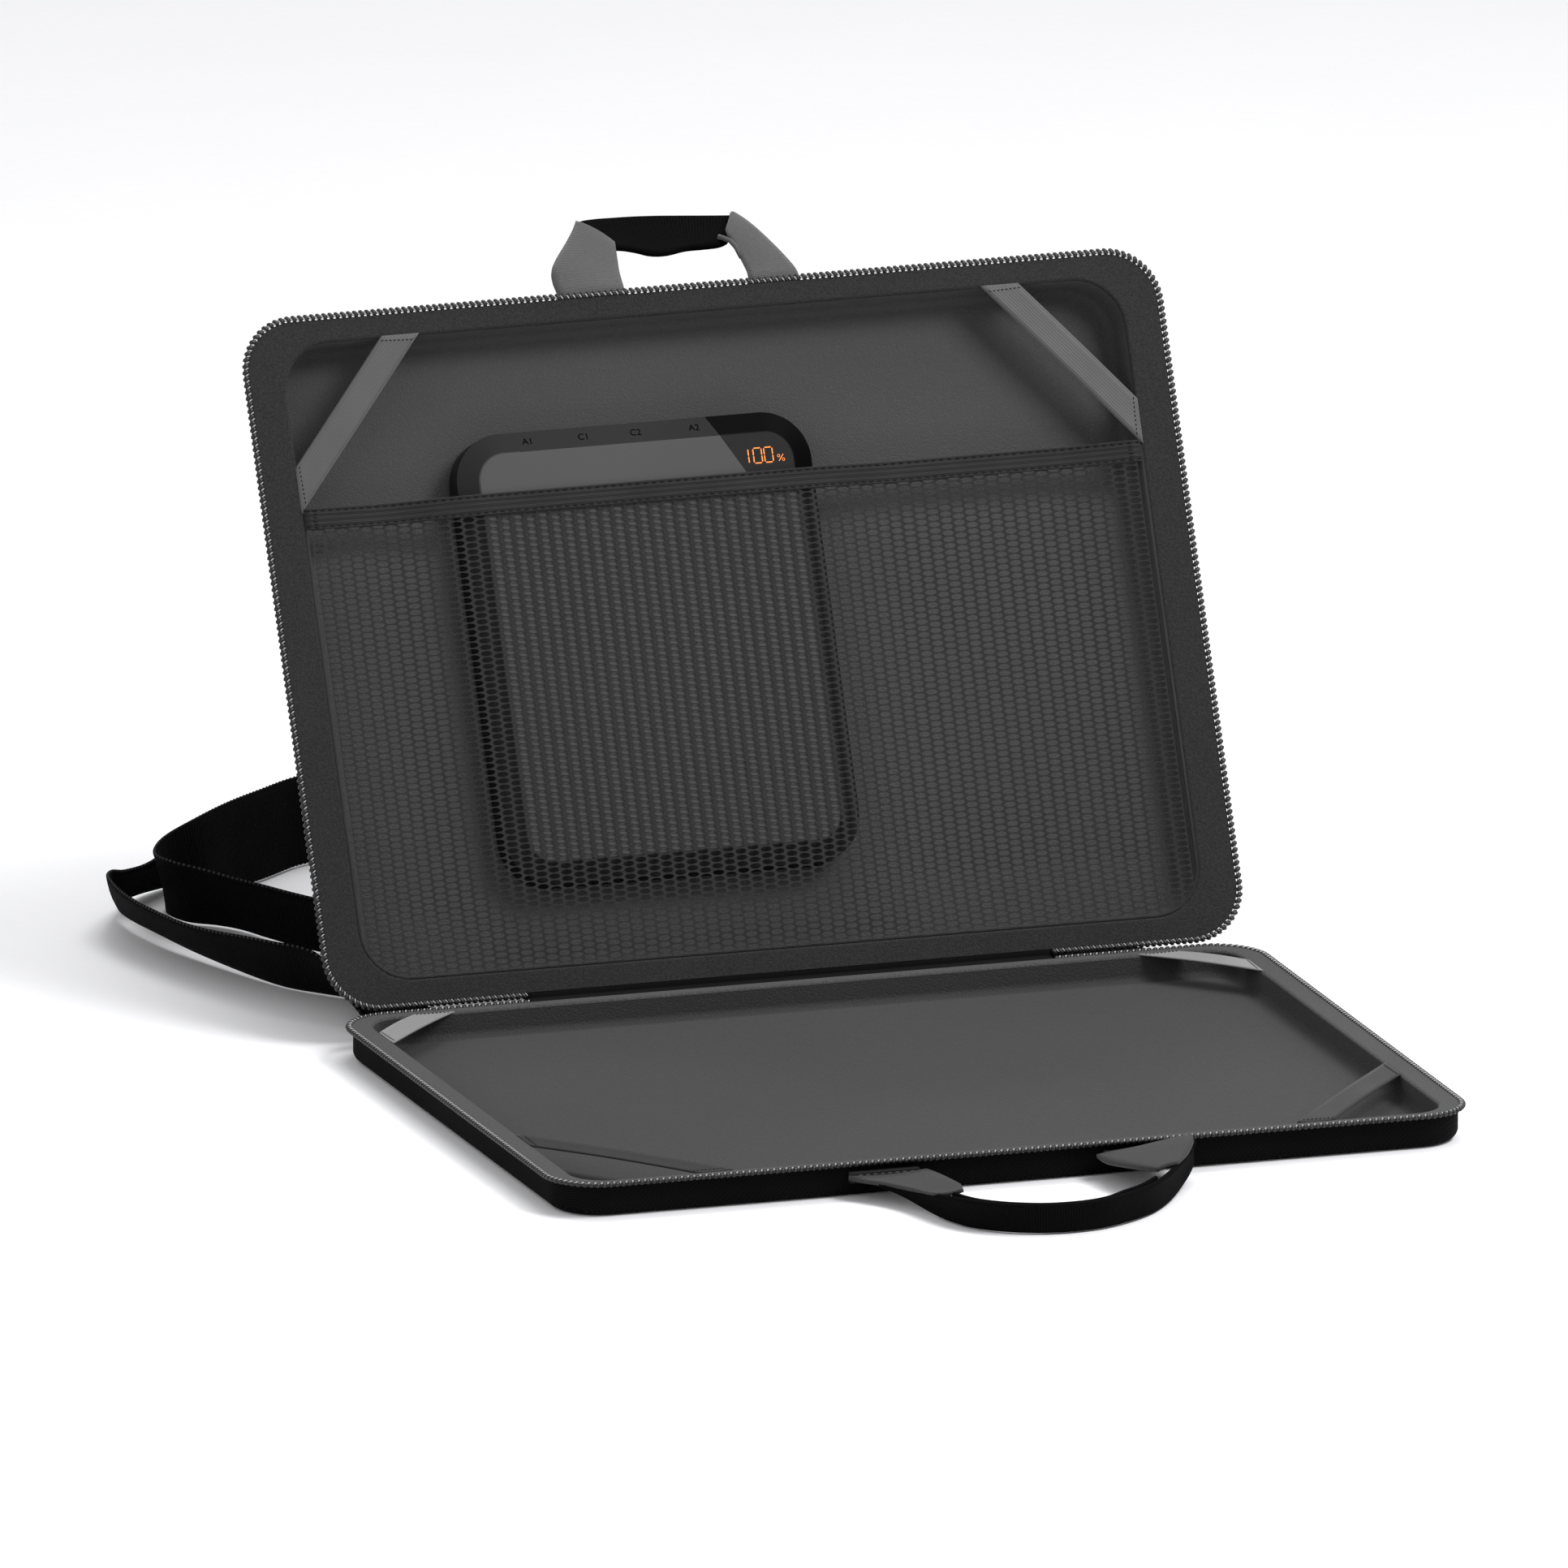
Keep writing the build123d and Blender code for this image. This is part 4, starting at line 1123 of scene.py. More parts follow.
@dataclass
class CornerBands:
    """Elastic bands across the corners: two on the lid and four on the tray."""

    case: CaseFrame
    width: float = 0.012
    thickness: float = 0.0006
    lid_cut: tuple[float, float] = (0.2729, 0.1783)
    tray_cut: tuple[float, float, float] = (0.1843, 0.2768, 0.0072)

    def strip(self, node: str, ends: tuple[Vector, Vector], cuts: tuple[Cut, Cut], facing: Vector,
              finish: Finish, body: Body) -> None:
        """Builds one band, sewn into the edge of the recess at both ends.

        Args:
            node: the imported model's band.
            ends: the middle of each end.
            cuts: how each end is cut.
            facing: the direction off the lining.
            finish: the band's finish.
            body: the body it rides on.
        """
        along = (ends[1] - ends[0]).normalized()
        aside = along.cross(facing).normalized() * (self.width / 2)
        sides = [[cut.slide(end + aside * way, along) for end, cut in zip(ends, cuts)] for way in (-1, 1)]
        edges = []
        for k in range(9):
            t = k / 8
            rise = facing * (0.00055 * math.sin(math.pi * t) - 0.0004)
            edges.append(tuple(a.lerp(b, t) + rise for a, b in sides))
        ribbon = Ribbon(node + "_elastic", edges, self.thickness, finish, smoothing=3, across=6, bow=0.0001)
        band = ribbon.build()
        rows = []
        for k, (row, near) in enumerate(((0, 1), (8, 7))):
            one, two = (edges[row][i].lerp(edges[near][i], 0.3) + facing * 0.0003 for i in (0, 1))
            rows.append(edge_stitches(f"{node}_tack_{k}", [one.lerp(two, i / 10) for i in range(1, 10)], facing,
                                      STITCH_BLACK, 0.0016))
        stitches = join(node + "_stitches", rows)
        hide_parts(node)
        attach(band, body.value)
        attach(stitches, body.value)
        ribbon.size()

    def build(self) -> None:
        """Builds all six bands."""
        case = self.case
        up, across, back = Vector((0, 0, 1)), Vector((1, 0, 0)), Vector((0, 1, 0))
        rise, half = self.lid_cut
        side_cut, front_cut, rear_cut = self.tray_cut
        for side, word in ((-1, "left"), (1, "right")):
            self.strip(
                "lid_band_" + word,
                (case.on_lid(side * 0.125, 0.275, 0.0006), case.on_lid(side * 0.1825, 0.208, 0.0006)),
                (Cut(case.up, case.on_lid(0, rise, 0).dot(case.up)), Cut(across, side * half)),
                -case.out, ELASTIC_GREY, Body.LID)
            # The front bands take the elastic with painted shade.
            self.strip(
                "tray_band_front_" + word,
                (case.on_tray(side * 0.187, -0.204, -0.0006), case.on_tray(side * 0.127, -0.277, -0.0006)),
                (Cut(across, side * side_cut), Cut(back, case.hinge.y - front_cut)),
                up, ELASTIC_PAINTED_SHADE, Body.TRAY)
            # The rear bands take the elastic with painted light.
            self.strip(
                "tray_band_rear_" + word,
                (case.on_tray(side * 0.186, -0.040, -0.0006), case.on_tray(side * 0.155, -0.009, -0.0006)),
                (Cut(across, side * side_cut), Cut(back, case.hinge.y - rear_cut)),
                up, ELASTIC_PAINTED_LIGHT, Body.TRAY)


@dataclass
class LidHandle:
    """The lid's webbing handle: two flat legs folded into a darker grip."""

    case: CaseFrame
    pivot_rise: float = 0.2857
    pivot_out: float = 0.007
    lean: float = math.radians(36.0)
    thickness: float = 0.0014

    def at(self, x: float, reach: float, lift: float) -> Vector:
        """A point on the leaning handle, in millimetres from its seam."""
        up, out = self.case.up, self.case.out
        along = up * math.cos(self.lean) + out * math.sin(self.lean)
        off = out * math.cos(self.lean) - up * math.sin(self.lean)
        return self.case.on_lid(x * MM, self.pivot_rise, self.pivot_out) + along * (reach * MM) + off * (lift * MM)

    def edges(self, rows: Sequence[tuple[float, ...]]) -> list[tuple[Vector, Vector]]:
        """Pairs of edge points from rows of x, reach and lift for each edge."""
        return [(self.at(*row[:3]), self.at(*row[3:])) for row in rows]

    def build(self) -> None:
        """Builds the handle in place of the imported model's flat arch."""
        left = Ribbon("lid_handle_leg_left", self.edges([
            (-57, -2.8, 0.8, -29, -2.8, 0.8), (-57, 0, 0, -28.8, 0, 0), (-57.2, 5, -0.6, -28.4, 4, 0.3),
            (-56.2, 10.5, -1.4, -27.8, 9, 0.5),
            (-52.2, 17, -1.2, -27, 14, 0.2), (-45.8, 25.5, -0.6, -26.2, 19, -0.4),
            (-40.5, 33, -0.2, -25.8, 22, -0.8),
            (-37.0, 39, 0.2, -25.4, 24.4, -0.6),
        ]), self.thickness, HANDLE_WEB, bow=-0.0012, across=8)
        grip = Ribbon("lid_handle_grip_band", self.edges([
            (-38.0, 36.5, 1.4, -27.5, 23.2, 1.2), (-35.4, 40.0, 2.4, -24.0, 23.9, 1.8),
            (-29.0, 42.4, 4.0, -20.0, 24.0, 2.6), (-20.5, 43.6, 5.2, -15.0, 23.2, 3.6),
            (-11, 44.0, 5.8, -9.5, 21.6, 4.4), (-2, 43.6, 6.0, -3.0, 21.4, 4.6), (8, 42.2, 5.6, 5.0, 22.8, 4.4),
            (18, 40.0, 4.6, 12.0, 22.0, 3.4), (26.5, 37.4, 3.0, 18.0, 21.0, 2.0),
            (29.5, 35.8, 1.6, 21.5, 22.0, 1.4),
        ]), 0.0026, GRIP_WEB, bow=0.0016, across=8)
        right = Ribbon("lid_handle_leg_right", self.edges([
            (24, -2.8, 0.8, 45, -2.8, 0.8), (24.2, 0, 0, 44.8, 0, 0), (24.6, 4, 0.2, 43.8, 4, -0.4),
            (24.2, 10, 0.2, 40.4, 13, -0.8),
            (23.6, 16.8, 0, 35.9, 23.7, -0.8), (23.0, 21.4, -0.4, 32.8, 30.4, -0.4),
            (22.4, 25.0, -0.8, 30.3, 35.0, 0.2),
            (27.6, 34.6, 0.4, 28.9, 37.0, 0.6),
        ]), self.thickness, HANDLE_WEB, bow=-0.0010, across=8)
        roll = round_line("lid_handle_roll", [self.at(*p) for p in (
            (18.6, 23.6, -0.2), (20.2, 22.2, -0.6), (22.6, 20.2, -0.6), (24.0, 16.5, -0.3),
            (24.6, 11.0, 0.0))], 0.0010, 10)
        dress(roll, HANDLE_WEB)
        facing = self.at(0, 0, -1) - self.at(0, 0, 0)
        rows = [
            edge_stitches("lid_handle_sew_a", [self.at(x, 2.2, -1.0)
                                         for x in range(-55, -30, 2)], facing, STITCH_GREY),
            edge_stitches("lid_handle_sew_b", [self.at(x, 2.2, -1.0)
                                         for x in range(26, 44, 2)], facing, STITCH_GREY),
        ]
        stitches = join("lid_handle_sewing", rows)
        bend = (Body.LID, self.at(0, -2.0, 0), self.at(0, 10, 0))
        place_webbing((left, grip, right), (stitches, roll), "lid_handle")


def place_webbing(ribbons: Sequence[Ribbon], extras: Sequence[bpy.types.Object], node: str) -> None:
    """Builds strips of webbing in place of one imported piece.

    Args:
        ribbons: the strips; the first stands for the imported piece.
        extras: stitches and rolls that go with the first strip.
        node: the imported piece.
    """
    built = [ribbon.build() for ribbon in ribbons]
    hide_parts(node)
    for piece in (*built, *extras):
        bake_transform(piece)
    for i, (piece, ribbon) in enumerate(zip(built, ribbons)):
        ribbon.size()


@dataclass
class TrayHandle:
    """The tray's webbing handle, which turns on its edge and lies on the ground."""

    case: CaseFrame
    thickness: float = 0.0015

    @staticmethod
    def edges(rows: Sequence[tuple[float, ...]]) -> list[tuple[Vector, Vector]]:
        """Pairs of edge points from rows of six millimetre values."""
        return [(Vector(row[:3]) * MM, Vector(row[3:]) * MM) for row in rows]

    def build(self) -> None:
        """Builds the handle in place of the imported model's plates."""
        left = Ribbon("tray_handle_leg_left", self.edges([
            (-40, -142.2, 9.3, -73, -142.2, 9.0), (-39.0, -150, 9.9, -70.5, -147.5, 8.7),
            (-38.6, -158, 10.6, -65.0, -153, 8.6), (-38.5, -166, 11.3, -60.2, -159.5, 8.6),
            (-38.6, -174, 12.0, -56.2, -167, 8.9), (-38.8, -182, 12.6, -53.2, -175.5, 9.4),
            (-40.5, -188.5, 12.7, -51.2, -183.5, 10.6),
        ]), self.thickness, TRAY_WEB, bow=0.0008, across=8)
        grip = Ribbon("tray_handle_grip_band", self.edges([
            (-66, -151.6, 8.2, -65, -151.8, 7.2), (-60.4, -159.4, 8.0, -58.0, -160.4, 5.4),
            (-56, -167.5, 8.3, -53.0, -169, 3.2), (-52.4, -177.5, 9.4, -49.6, -179, 1.6),
            (-48.6, -190, 11.2, -45.8, -190.2, 0.8), (-42.4, -203.5, 12.4, -39.6, -202.6, 0.6),
            (-31.0, -213.8, 12.6, -28.8, -212.6, 0.6), (-16, -219.6, 12.6, -15.6, -218.4, 0.6),
            (-1, -220.6, 12.6, -1, -219.4, 0.6), (14, -217.0, 12.6, 14.0, -215.6, 0.6),
            (33, -204.4, 12.7, 31.6, -204.6, 0.6), (46.4, -189.4, 12.9, 45, -190, 0.8),
            (57.4, -174.4, 14.2, 56, -175, 2.8), (66.4, -161, 16.2, 65.4, -161.5, 7.0),
            (69.4, -151, 16.2, 69, -151.2, 12.0),
        ]), 0.0018, GRIP_WEB, bow=0.0006, across=8)
        inner = Ribbon("tray_handle_inner_ply", self.edges([
            (-41.6, -182, 11.6, -45.0, -181, 2.2), (-43.6, -189, 11.8, -43.2, -189, 1.4),
            (-38.4, -200.6, 11.8, -36.8, -199.8, 1.2), (-27.6, -210.2, 11.9, -26.4, -209.2, 1.2),
            (-14, -215.8, 11.9, -13.6, -214.8, 1.2), (0, -216.6, 11.9, 0, -215.6, 1.2),
            (12, -213.4, 11.9, 11.6, -212.4, 1.2), (22.0, -206.0, 11.9, 21.0, -205.4, 1.2),
            (31.4, -199.6, 12.0, 30.2, -199.4, 1.2), (41.0, -190.0, 12.2, 40.2, -189.6, 2.0),
        ]), 0.0014, GRIP_WEB, bow=0.0004, across=6)
        right = Ribbon("tray_handle_leg_right", self.edges([
            (66, -142.2, 11.2, 32, -142.2, 9.3), (68.2, -146.0, 15.0, 31.4, -149.6, 9.6),
            (69.2, -151.0, 17.0, 31.8, -157.6, 10.2), (66.8, -160.0, 17.0, 33.8, -166, 11.2),
            (61.4, -170.0, 15.4, 37.6, -175.4, 12.2), (54.0, -180.0, 13.8, 43.4, -184.0, 12.9),
        ]), self.thickness, TRAY_WEB, bow=-0.0008, across=8)
        up = Vector((0, 0, 1))
        rows = [
            edge_stitches("tray_sew_a", [Vector((x, -145.2, 10.3)) * MM
                                         for x in range(-69, -40, 2)], up, STITCH_GREY),
            edge_stitches("tray_sew_b", [Vector((x, -145.2, 10.5 + 0.05 * (x - 34))) * MM
                                         for x in range(34, 65, 2)], up,
                          STITCH_GREY),
        ]
        stitches = join("tray_handle_sewing", rows)
        place_webbing((left, grip, inner, right), (stitches,), "tray_handle")


STRAP_STATIONS: tuple[tuple[float, ...], ...] = (
    (-170, 27.3, 2.3, -132, 27.3, 2.3), (-171, 33, 6, -135, 42, 1.2), (-176, 42, 14, -147, 60, 1.2),
    (-182, 57, 25, -168, 83, 1.2), (-196, 78, 26, -182, 104, 1.2), (-212, 118, 23, -197, 147, 3),
    (-220, 152, 23, -206, 181, 5), (-223, 174, 24, -209, 204, 5), (-222, 194, 25, -207, 224, 4),
    (-216, 208, 24, -199, 240, 3), (-206, 219, 20.5, -188, 252, 2), (-190, 232, 20, -174, 262, 1.2),
    (-166, 253, 26, -154, 275, 1.2), (-140, 271, 30, -131, 286, 1.2), (-115, 289, 31, -109, 299, 1.2),
    (-95, 304, 34, -93, 309, 1.2), (-77, 306, 38, -77, 306, 1.2), (-74, 293, 38, -74, 293, 1.2),
    (-88, 284, 38, -87, 285, 1.2), (-114, 275, 38, -111, 278, 1.2), (-135, 260, 38, -131, 263, 1.2),
    (-154, 245, 38, -149, 250, 1.2), (-172, 230, 37, -165, 238, 1.2), (-190, 219, 33, -179, 237, 1.2),
    (-199, 204, 31, -187, 222, 1.2), (-197, 189, 31, -184, 207, 1.2), (-188, 177, 30, -174, 198, 1.2),
    (-180, 165, 29, -167, 188, 1.2), (-172, 149, 29, -161, 172, 1.2), (-160, 125, 29, -150, 148, 1.2),
    (-143, 101, 29, -132, 124, 1.2), (-116, 80, 27, -106, 105, 1.2), (-76, 64, 25, -69, 92, 1.2),
    (-25, 54, 22, -21, 85, 1.2), (32, 46, 19, 35, 79, 1.2), (84, 41, 14, 90, 76, 1.2),
    (117, 38, 8, 135, 70, 1.2), (129, 33, 4, 163, 48, 1.2), (132, 27.3, 2.3, 170, 27.3, 2.3),
)


@dataclass
class ShoulderStrap:
    """The webbing strap that lies on its edge in two nested loops, with its ends."""

    case: CaseFrame
    thickness: float = 0.0016
    ring_x: float = 0.151
    tab_width: float = 0.036

    def edges(self) -> list[tuple[Vector, Vector]]:
        """The strap's upper and lower edges, from ring to ring."""
        back = Vector((0, self.case.hinge.y, 0))
        return [(Vector(s[:3]) * MM + back, Vector(s[3:]) * MM + back) for s in STRAP_STATIONS]

    def loop(self, name: str, side: int, profile: Sequence[tuple[float, float]], width: float) -> bpy.types.Object:
        """Webbing folded round one bar of a ring.

        Args:
            name: the new object's name.
            side: -1 for the left ring, 1 for the right.
            profile: distance behind the spine and height, in millimetres.
            width: the webbing's width.

        Returns:
            The folded webbing.
        """
        x = side * self.ring_x
        edges = [
            (Vector((x - width / 2, self.case.hinge.y + y * MM, z * MM)),
             Vector((x + width / 2, self.case.hinge.y + y * MM, z * MM)))
            for y, z in profile
        ]
        return Ribbon(name, edges, 0.001, STRAP_WEB, smoothing=4, across=4).build()

    def build(self) -> None:
        """Builds the strap, the painted highlights along its edges and the webbing round both rings."""
        ribbon = Ribbon("shoulder_strap_webbing", self.edges(), self.thickness, STRAP_WEB, smoothing=5, across=8,
                        bow=0.0007)
        strap = ribbon.build()
        LOG.info("strap is %.0f mm wide and %.0f mm long", *(v * 1000 for v in ribbon.size()))
        # Painted highlight: dashes along both edges of the strap.
        rows = []
        for tag, pick in (("high", 0), ("low", 1)):
            path = between([e[pick] for e in self.edges()], 5)
            rows.append(BeadRow.make("strap_edge_" + tag, path, 0.0024, Vector((0.0014, 0.0008, 0.0013)),
                                     Vector((0, 0, 1)), STRAP_EDGE_GLINT, sides=6))
        edge_glints = join("shoulder_strap_edge_glint", rows)
        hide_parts("shoulder_strap")
        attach(strap, Body.TRAY.value)
        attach(edge_glints, Body.TRAY.value)
        ribbon.size()
        for side, word in ((-1, "left"), (1, "right")):
            tab = self.loop(f"ring_tab_{word}_webbing", side, [
                (-2.9, 3.5), (1, 3.9), (5.2, 4.3), (8.2, 4.0), (9.3, 2.3), (8.2, 0.75), (5.2, 0.55), (1, 0.7),
                (-2.9, 0.9),
            ], self.tab_width)
            end = self.loop(f"strap_end_{word}_webbing", side, [
                (28.5, 2.6), (25, 3.4), (21, 4.2), (18, 4.1), (16.7, 2.3), (18, 0.65), (21, 0.55), (25, 0.8),
                (30, 0.8),
            ], 0.038)
            up = Vector((0, 0, 1))
            x = side * self.ring_x
            box_rows = [
                edge_stitches(f"ring_sew_{word}_{k}", [Vector((x + i * 0.002, self.case.hinge.y + y * MM, z * MM))
                                                       for i in range(-8, 9)], up, STITCH_GREY)
                for k, (y, z) in enumerate(((0.2, 4.35), (24.5, 4.1)))
            ]
            sewing = join(f"ring_sewing_{word}", box_rows)
            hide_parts("ring_tab_" + word)
            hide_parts("strap_end_" + word)
            for piece in (tab, end, sewing):
                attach(piece, Body.TRAY.value)


@dataclass
class SpineGusset:
    """The strip of fabric that joins both rims."""

    case: CaseFrame
    half: float = 0.1117

    def build(self) -> bpy.types.Object:
        """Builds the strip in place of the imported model's two halves.

        Returns:
            The strip, which bends between tray and lid.
        """
        case = self.case
        profile = [case.on_tray(0, y * MM, z * MM) for y, z in ((-3.0, -1.5), (-2.0, -1.7), (-1.0, -2.2),
        (0.0, -2.6))]
        profile += [case.on_lid(0, v * MM, h * MM) for v, h in ((0.0, 2.6), (1.0, 2.2), (2.0, 1.7), (3.0, 1.5))]
        line = between(profile, 3)
        grid = [[p + Vector((self.half * (2 * j / 60 - 1), 0, 0)) for p in line] for j in range(61)]
        strip = slab("spine_gusset", grid, 0.0006)
        dress(strip, TAPE_CLOTH)
        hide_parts("tray_spine_strip", "lid_spine_strip")
        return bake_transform(strip)


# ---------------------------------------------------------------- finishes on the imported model


@dataclass(frozen=True)
class LinedFinish:
    """One finish on a lining's flange and another down in its recess, with painted light that can lighten the recess
    below a level.
    """

    name: str
    flange: Finish
    recess: Finish
    inward: tuple[float, float, float]
    level: float
    # painted light: an axis, a level and a gain; below the level the recess tone is lightened by the gain
    low: Optional[tuple[tuple[float, float, float], float, float]] = None

    def material(self) -> bpy.types.Material:
        """The two finishes as one material, parted at the level, with the recess lightened below a second level as
        painted light.
        """
        made = bpy.data.materials.new(self.name)
        made.use_nodes = True
        graph = Graph(made.node_tree)
        shader = made.node_tree.nodes["Principled BSDF"]
        place = graph.add("ShaderNodeTexCoord").outputs["Object"]
        depth = graph.vector_math("DOT_PRODUCT", place, self.inward).outputs["Value"]
        share = graph.spread(depth, self.level - 0.0002, self.level + 0.0002, 0.0, 1.0)
        tones, heights = [], []
        for finish in (self.flange, self.recess):
            pattern = graph.add("ShaderNodeGroup", node_tree=PATTERNS.group(finish.weave))
            graph.feed(pattern.inputs["Vector"], place)
            pattern.inputs["Scale"].default_value = finish.scale
            tint = graph.spread(pattern.outputs["Tint"], 0.2, 0.8, 0.0, 1.0)
            tones.append(graph.mix(tint, (*finish.dark, 1.0), (*finish.light, 1.0)))
            heights.append(pattern.outputs["Height"])
        # Painted light: the recess tone is lightened below the level, so the lining behind the mesh pocket looks less
        # shaded by it.
        if self.low is not None:
            axis, limit, painted_light_gain = self.low
            rise = graph.vector_math("DOT_PRODUCT", place, axis).outputs["Value"]
            painted_light_zone = graph.spread(rise, limit - 0.004, limit + 0.004, 1.0, 0.0)
            pale = graph.vector_math("MULTIPLY", tones[1], (painted_light_gain, painted_light_gain, painted_light_gain)).outputs[0]
            tones[1] = graph.mix(painted_light_zone, tones[1], pale)
        graph.feed(shader.inputs["Base Color"], graph.mix(share, tones[0], tones[1]))
        graph.feed(shader.inputs["Roughness"],
                   graph.spread(share, 0.0, 1.0, self.flange.roughness, self.recess.roughness))
        shader.inputs["Sheen Weight"].default_value = self.flange.sheen
        shader.inputs["Specular IOR Level"].default_value = self.recess.specular
        lifted = graph.add("ShaderNodeMix", data_type="FLOAT")
        for i, value in ((0, share), (2, heights[0]), (3, heights[1])):
            graph.feed(lifted.inputs[i], value)
        bump = graph.add("ShaderNodeBump")
        bump.inputs["Strength"].default_value = 0.8
        bump.inputs["Distance"].default_value = self.flange.relief
        graph.feed(bump.inputs["Height"], lifted.outputs[0])
        graph.feed(shader.inputs["Normal"], bump.outputs["Normal"])
        return made


class CellFinish:
    """Solar cells: deep blue-black silicon with fine fingers and three bars."""

    @staticmethod
    def material(case: CaseFrame) -> bpy.types.Material:
        """The cells' material, ruled along and across the lid."""
        made = bpy.data.materials.new("Solar cell")
        made.use_nodes = True
        graph = Graph(made.node_tree)
        shader = made.node_tree.nodes["Principled BSDF"]
        place = graph.add("ShaderNodeTexCoord").outputs["Object"]
        rise = graph.vector_math("DOT_PRODUCT", place, tuple(case.up)).outputs["Value"]
        part = graph.add("ShaderNodeSeparateXYZ")
        graph.feed(part.inputs[0], place)

        def ruled(value: Socket, pitch: float, width: float) -> Socket:
            """A mask of lines at a pitch."""
            turn = graph.math("FRACT", graph.math("DIVIDE", value, pitch))
            return graph.math("LESS_THAN", turn, width / pitch)

        fingers = ruled(rise, 0.0017, 0.00022)
        bars = ruled(part.outputs[0], 0.0213, 0.0011)
        lines = graph.math("MAXIMUM", fingers, bars)
        noise = graph.add("ShaderNodeTexNoise")
        graph.feed(noise.inputs["Vector"], place)
        noise.inputs["Scale"].default_value = 25.0
        silicon = graph.mix(noise.outputs[0], (0.004, 0.006, 0.018, 1), (0.008, 0.012, 0.034, 1))
        graph.feed(shader.inputs["Base Color"], graph.mix(lines, silicon, (0.42, 0.43, 0.45, 1)))
        graph.feed(shader.inputs["Metallic"], graph.math("MULTIPLY", lines, 0.8))
        shader.inputs["Roughness"].default_value = 0.28
        return made


class FilmFinish:
    """The clear film over the cells, finely dimpled."""

    @staticmethod
    def material() -> bpy.types.Material:
        """The film's material."""
        made = bpy.data.materials.new("Dimpled film")
        made.use_nodes = True
        graph = Graph(made.node_tree)
        shader = made.node_tree.nodes["Principled BSDF"]
        shader.inputs["Base Color"].default_value = (0.93, 0.95, 0.97, 1)
        shader.inputs["Transmission Weight"].default_value = 1.0
        shader.inputs["Roughness"].default_value = 0.12
        shader.inputs["IOR"].default_value = 1.38
        cells = graph.add("ShaderNodeTexVoronoi")
        graph.feed(cells.inputs["Vector"], graph.add("ShaderNodeTexCoord").outputs["Object"])
        cells.inputs["Scale"].default_value = 700.0
        bump = graph.add("ShaderNodeBump")
        bump.inputs["Strength"].default_value = 0.35
        bump.inputs["Distance"].default_value = 0.0001
        graph.feed(bump.inputs["Height"], cells.outputs["Distance"])
        graph.feed(shader.inputs["Normal"], bump.outputs["Normal"])
        return made


class LitFinish:
    """Glowing numerals."""

    @staticmethod
    def material() -> bpy.types.Material:
        """The numerals' material, a little brighter in the middle of each stroke."""
        made = bpy.data.materials.new("Lit numeral")
        made.use_nodes = True
        graph = Graph(made.node_tree)
        shader = made.node_tree.nodes["Principled BSDF"]
        noise = graph.add("ShaderNodeTexNoise")
        graph.feed(noise.inputs["Vector"], graph.add("ShaderNodeTexCoord").outputs["Object"])
        noise.inputs["Scale"].default_value = 400.0
        glow = graph.mix(noise.outputs[0], (0.95, 0.24, 0.025, 1), (1.0, 0.31, 0.045, 1))
        shader.inputs["Base Color"].default_value = (0.6, 0.12, 0.01, 1)
        graph.feed(shader.inputs["Emission Color"], glow)
        shader.inputs["Emission Strength"].default_value = 0.9
        shader.inputs["Roughness"].default_value = 0.3
        return made


@dataclass
class CaseShells:
    """The moulded shells, their linings, the zip tapes and the anchors."""

    case: CaseFrame
    nodes: dict[str, bpy.types.Object]

    def build(self) -> None:
        """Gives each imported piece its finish."""
        case = self.case
        for node in ("tray_shell", "lid_shell"):
            dress(self.nodes[node], SHELL_CLOTH)
        for node in ("tray_zip_tape", "lid_zip_tape"):
            dress(self.nodes[node], TAPE_CLOTH)
        dress(self.nodes["tray_board"], STIFF_SHEET)
        for node in ("tray_handle_anchors", "lid_handle_anchors"):
            dress(self.nodes[node], STRAP_SEAT)
        # The last entry is painted light: below 198 mm up the lid the lining tone is lightened 1.65 times, so it looks
        # less shaded behind the mesh pocket.
        lid = LinedFinish("Lid lining and flange", FLANGE, LINING, tuple(case.out),
                          case.hinge.dot(case.out) + 0.0022,
                          (tuple(case.up), case.hinge.dot(case.up) + 0.198, 1.65))
        tray = LinedFinish("Tray lining and flange", TRAY_KNIT, TRAY_LINING, (0.0, 0.0, -1.0),
                           -case.hinge.z + 0.0022)
        for node, finish in (("lid_liner", lid), ("tray_liner", tray)):
            mesh = self.nodes[node].data
            mesh.materials.clear()
            mesh.materials.append(finish.material())


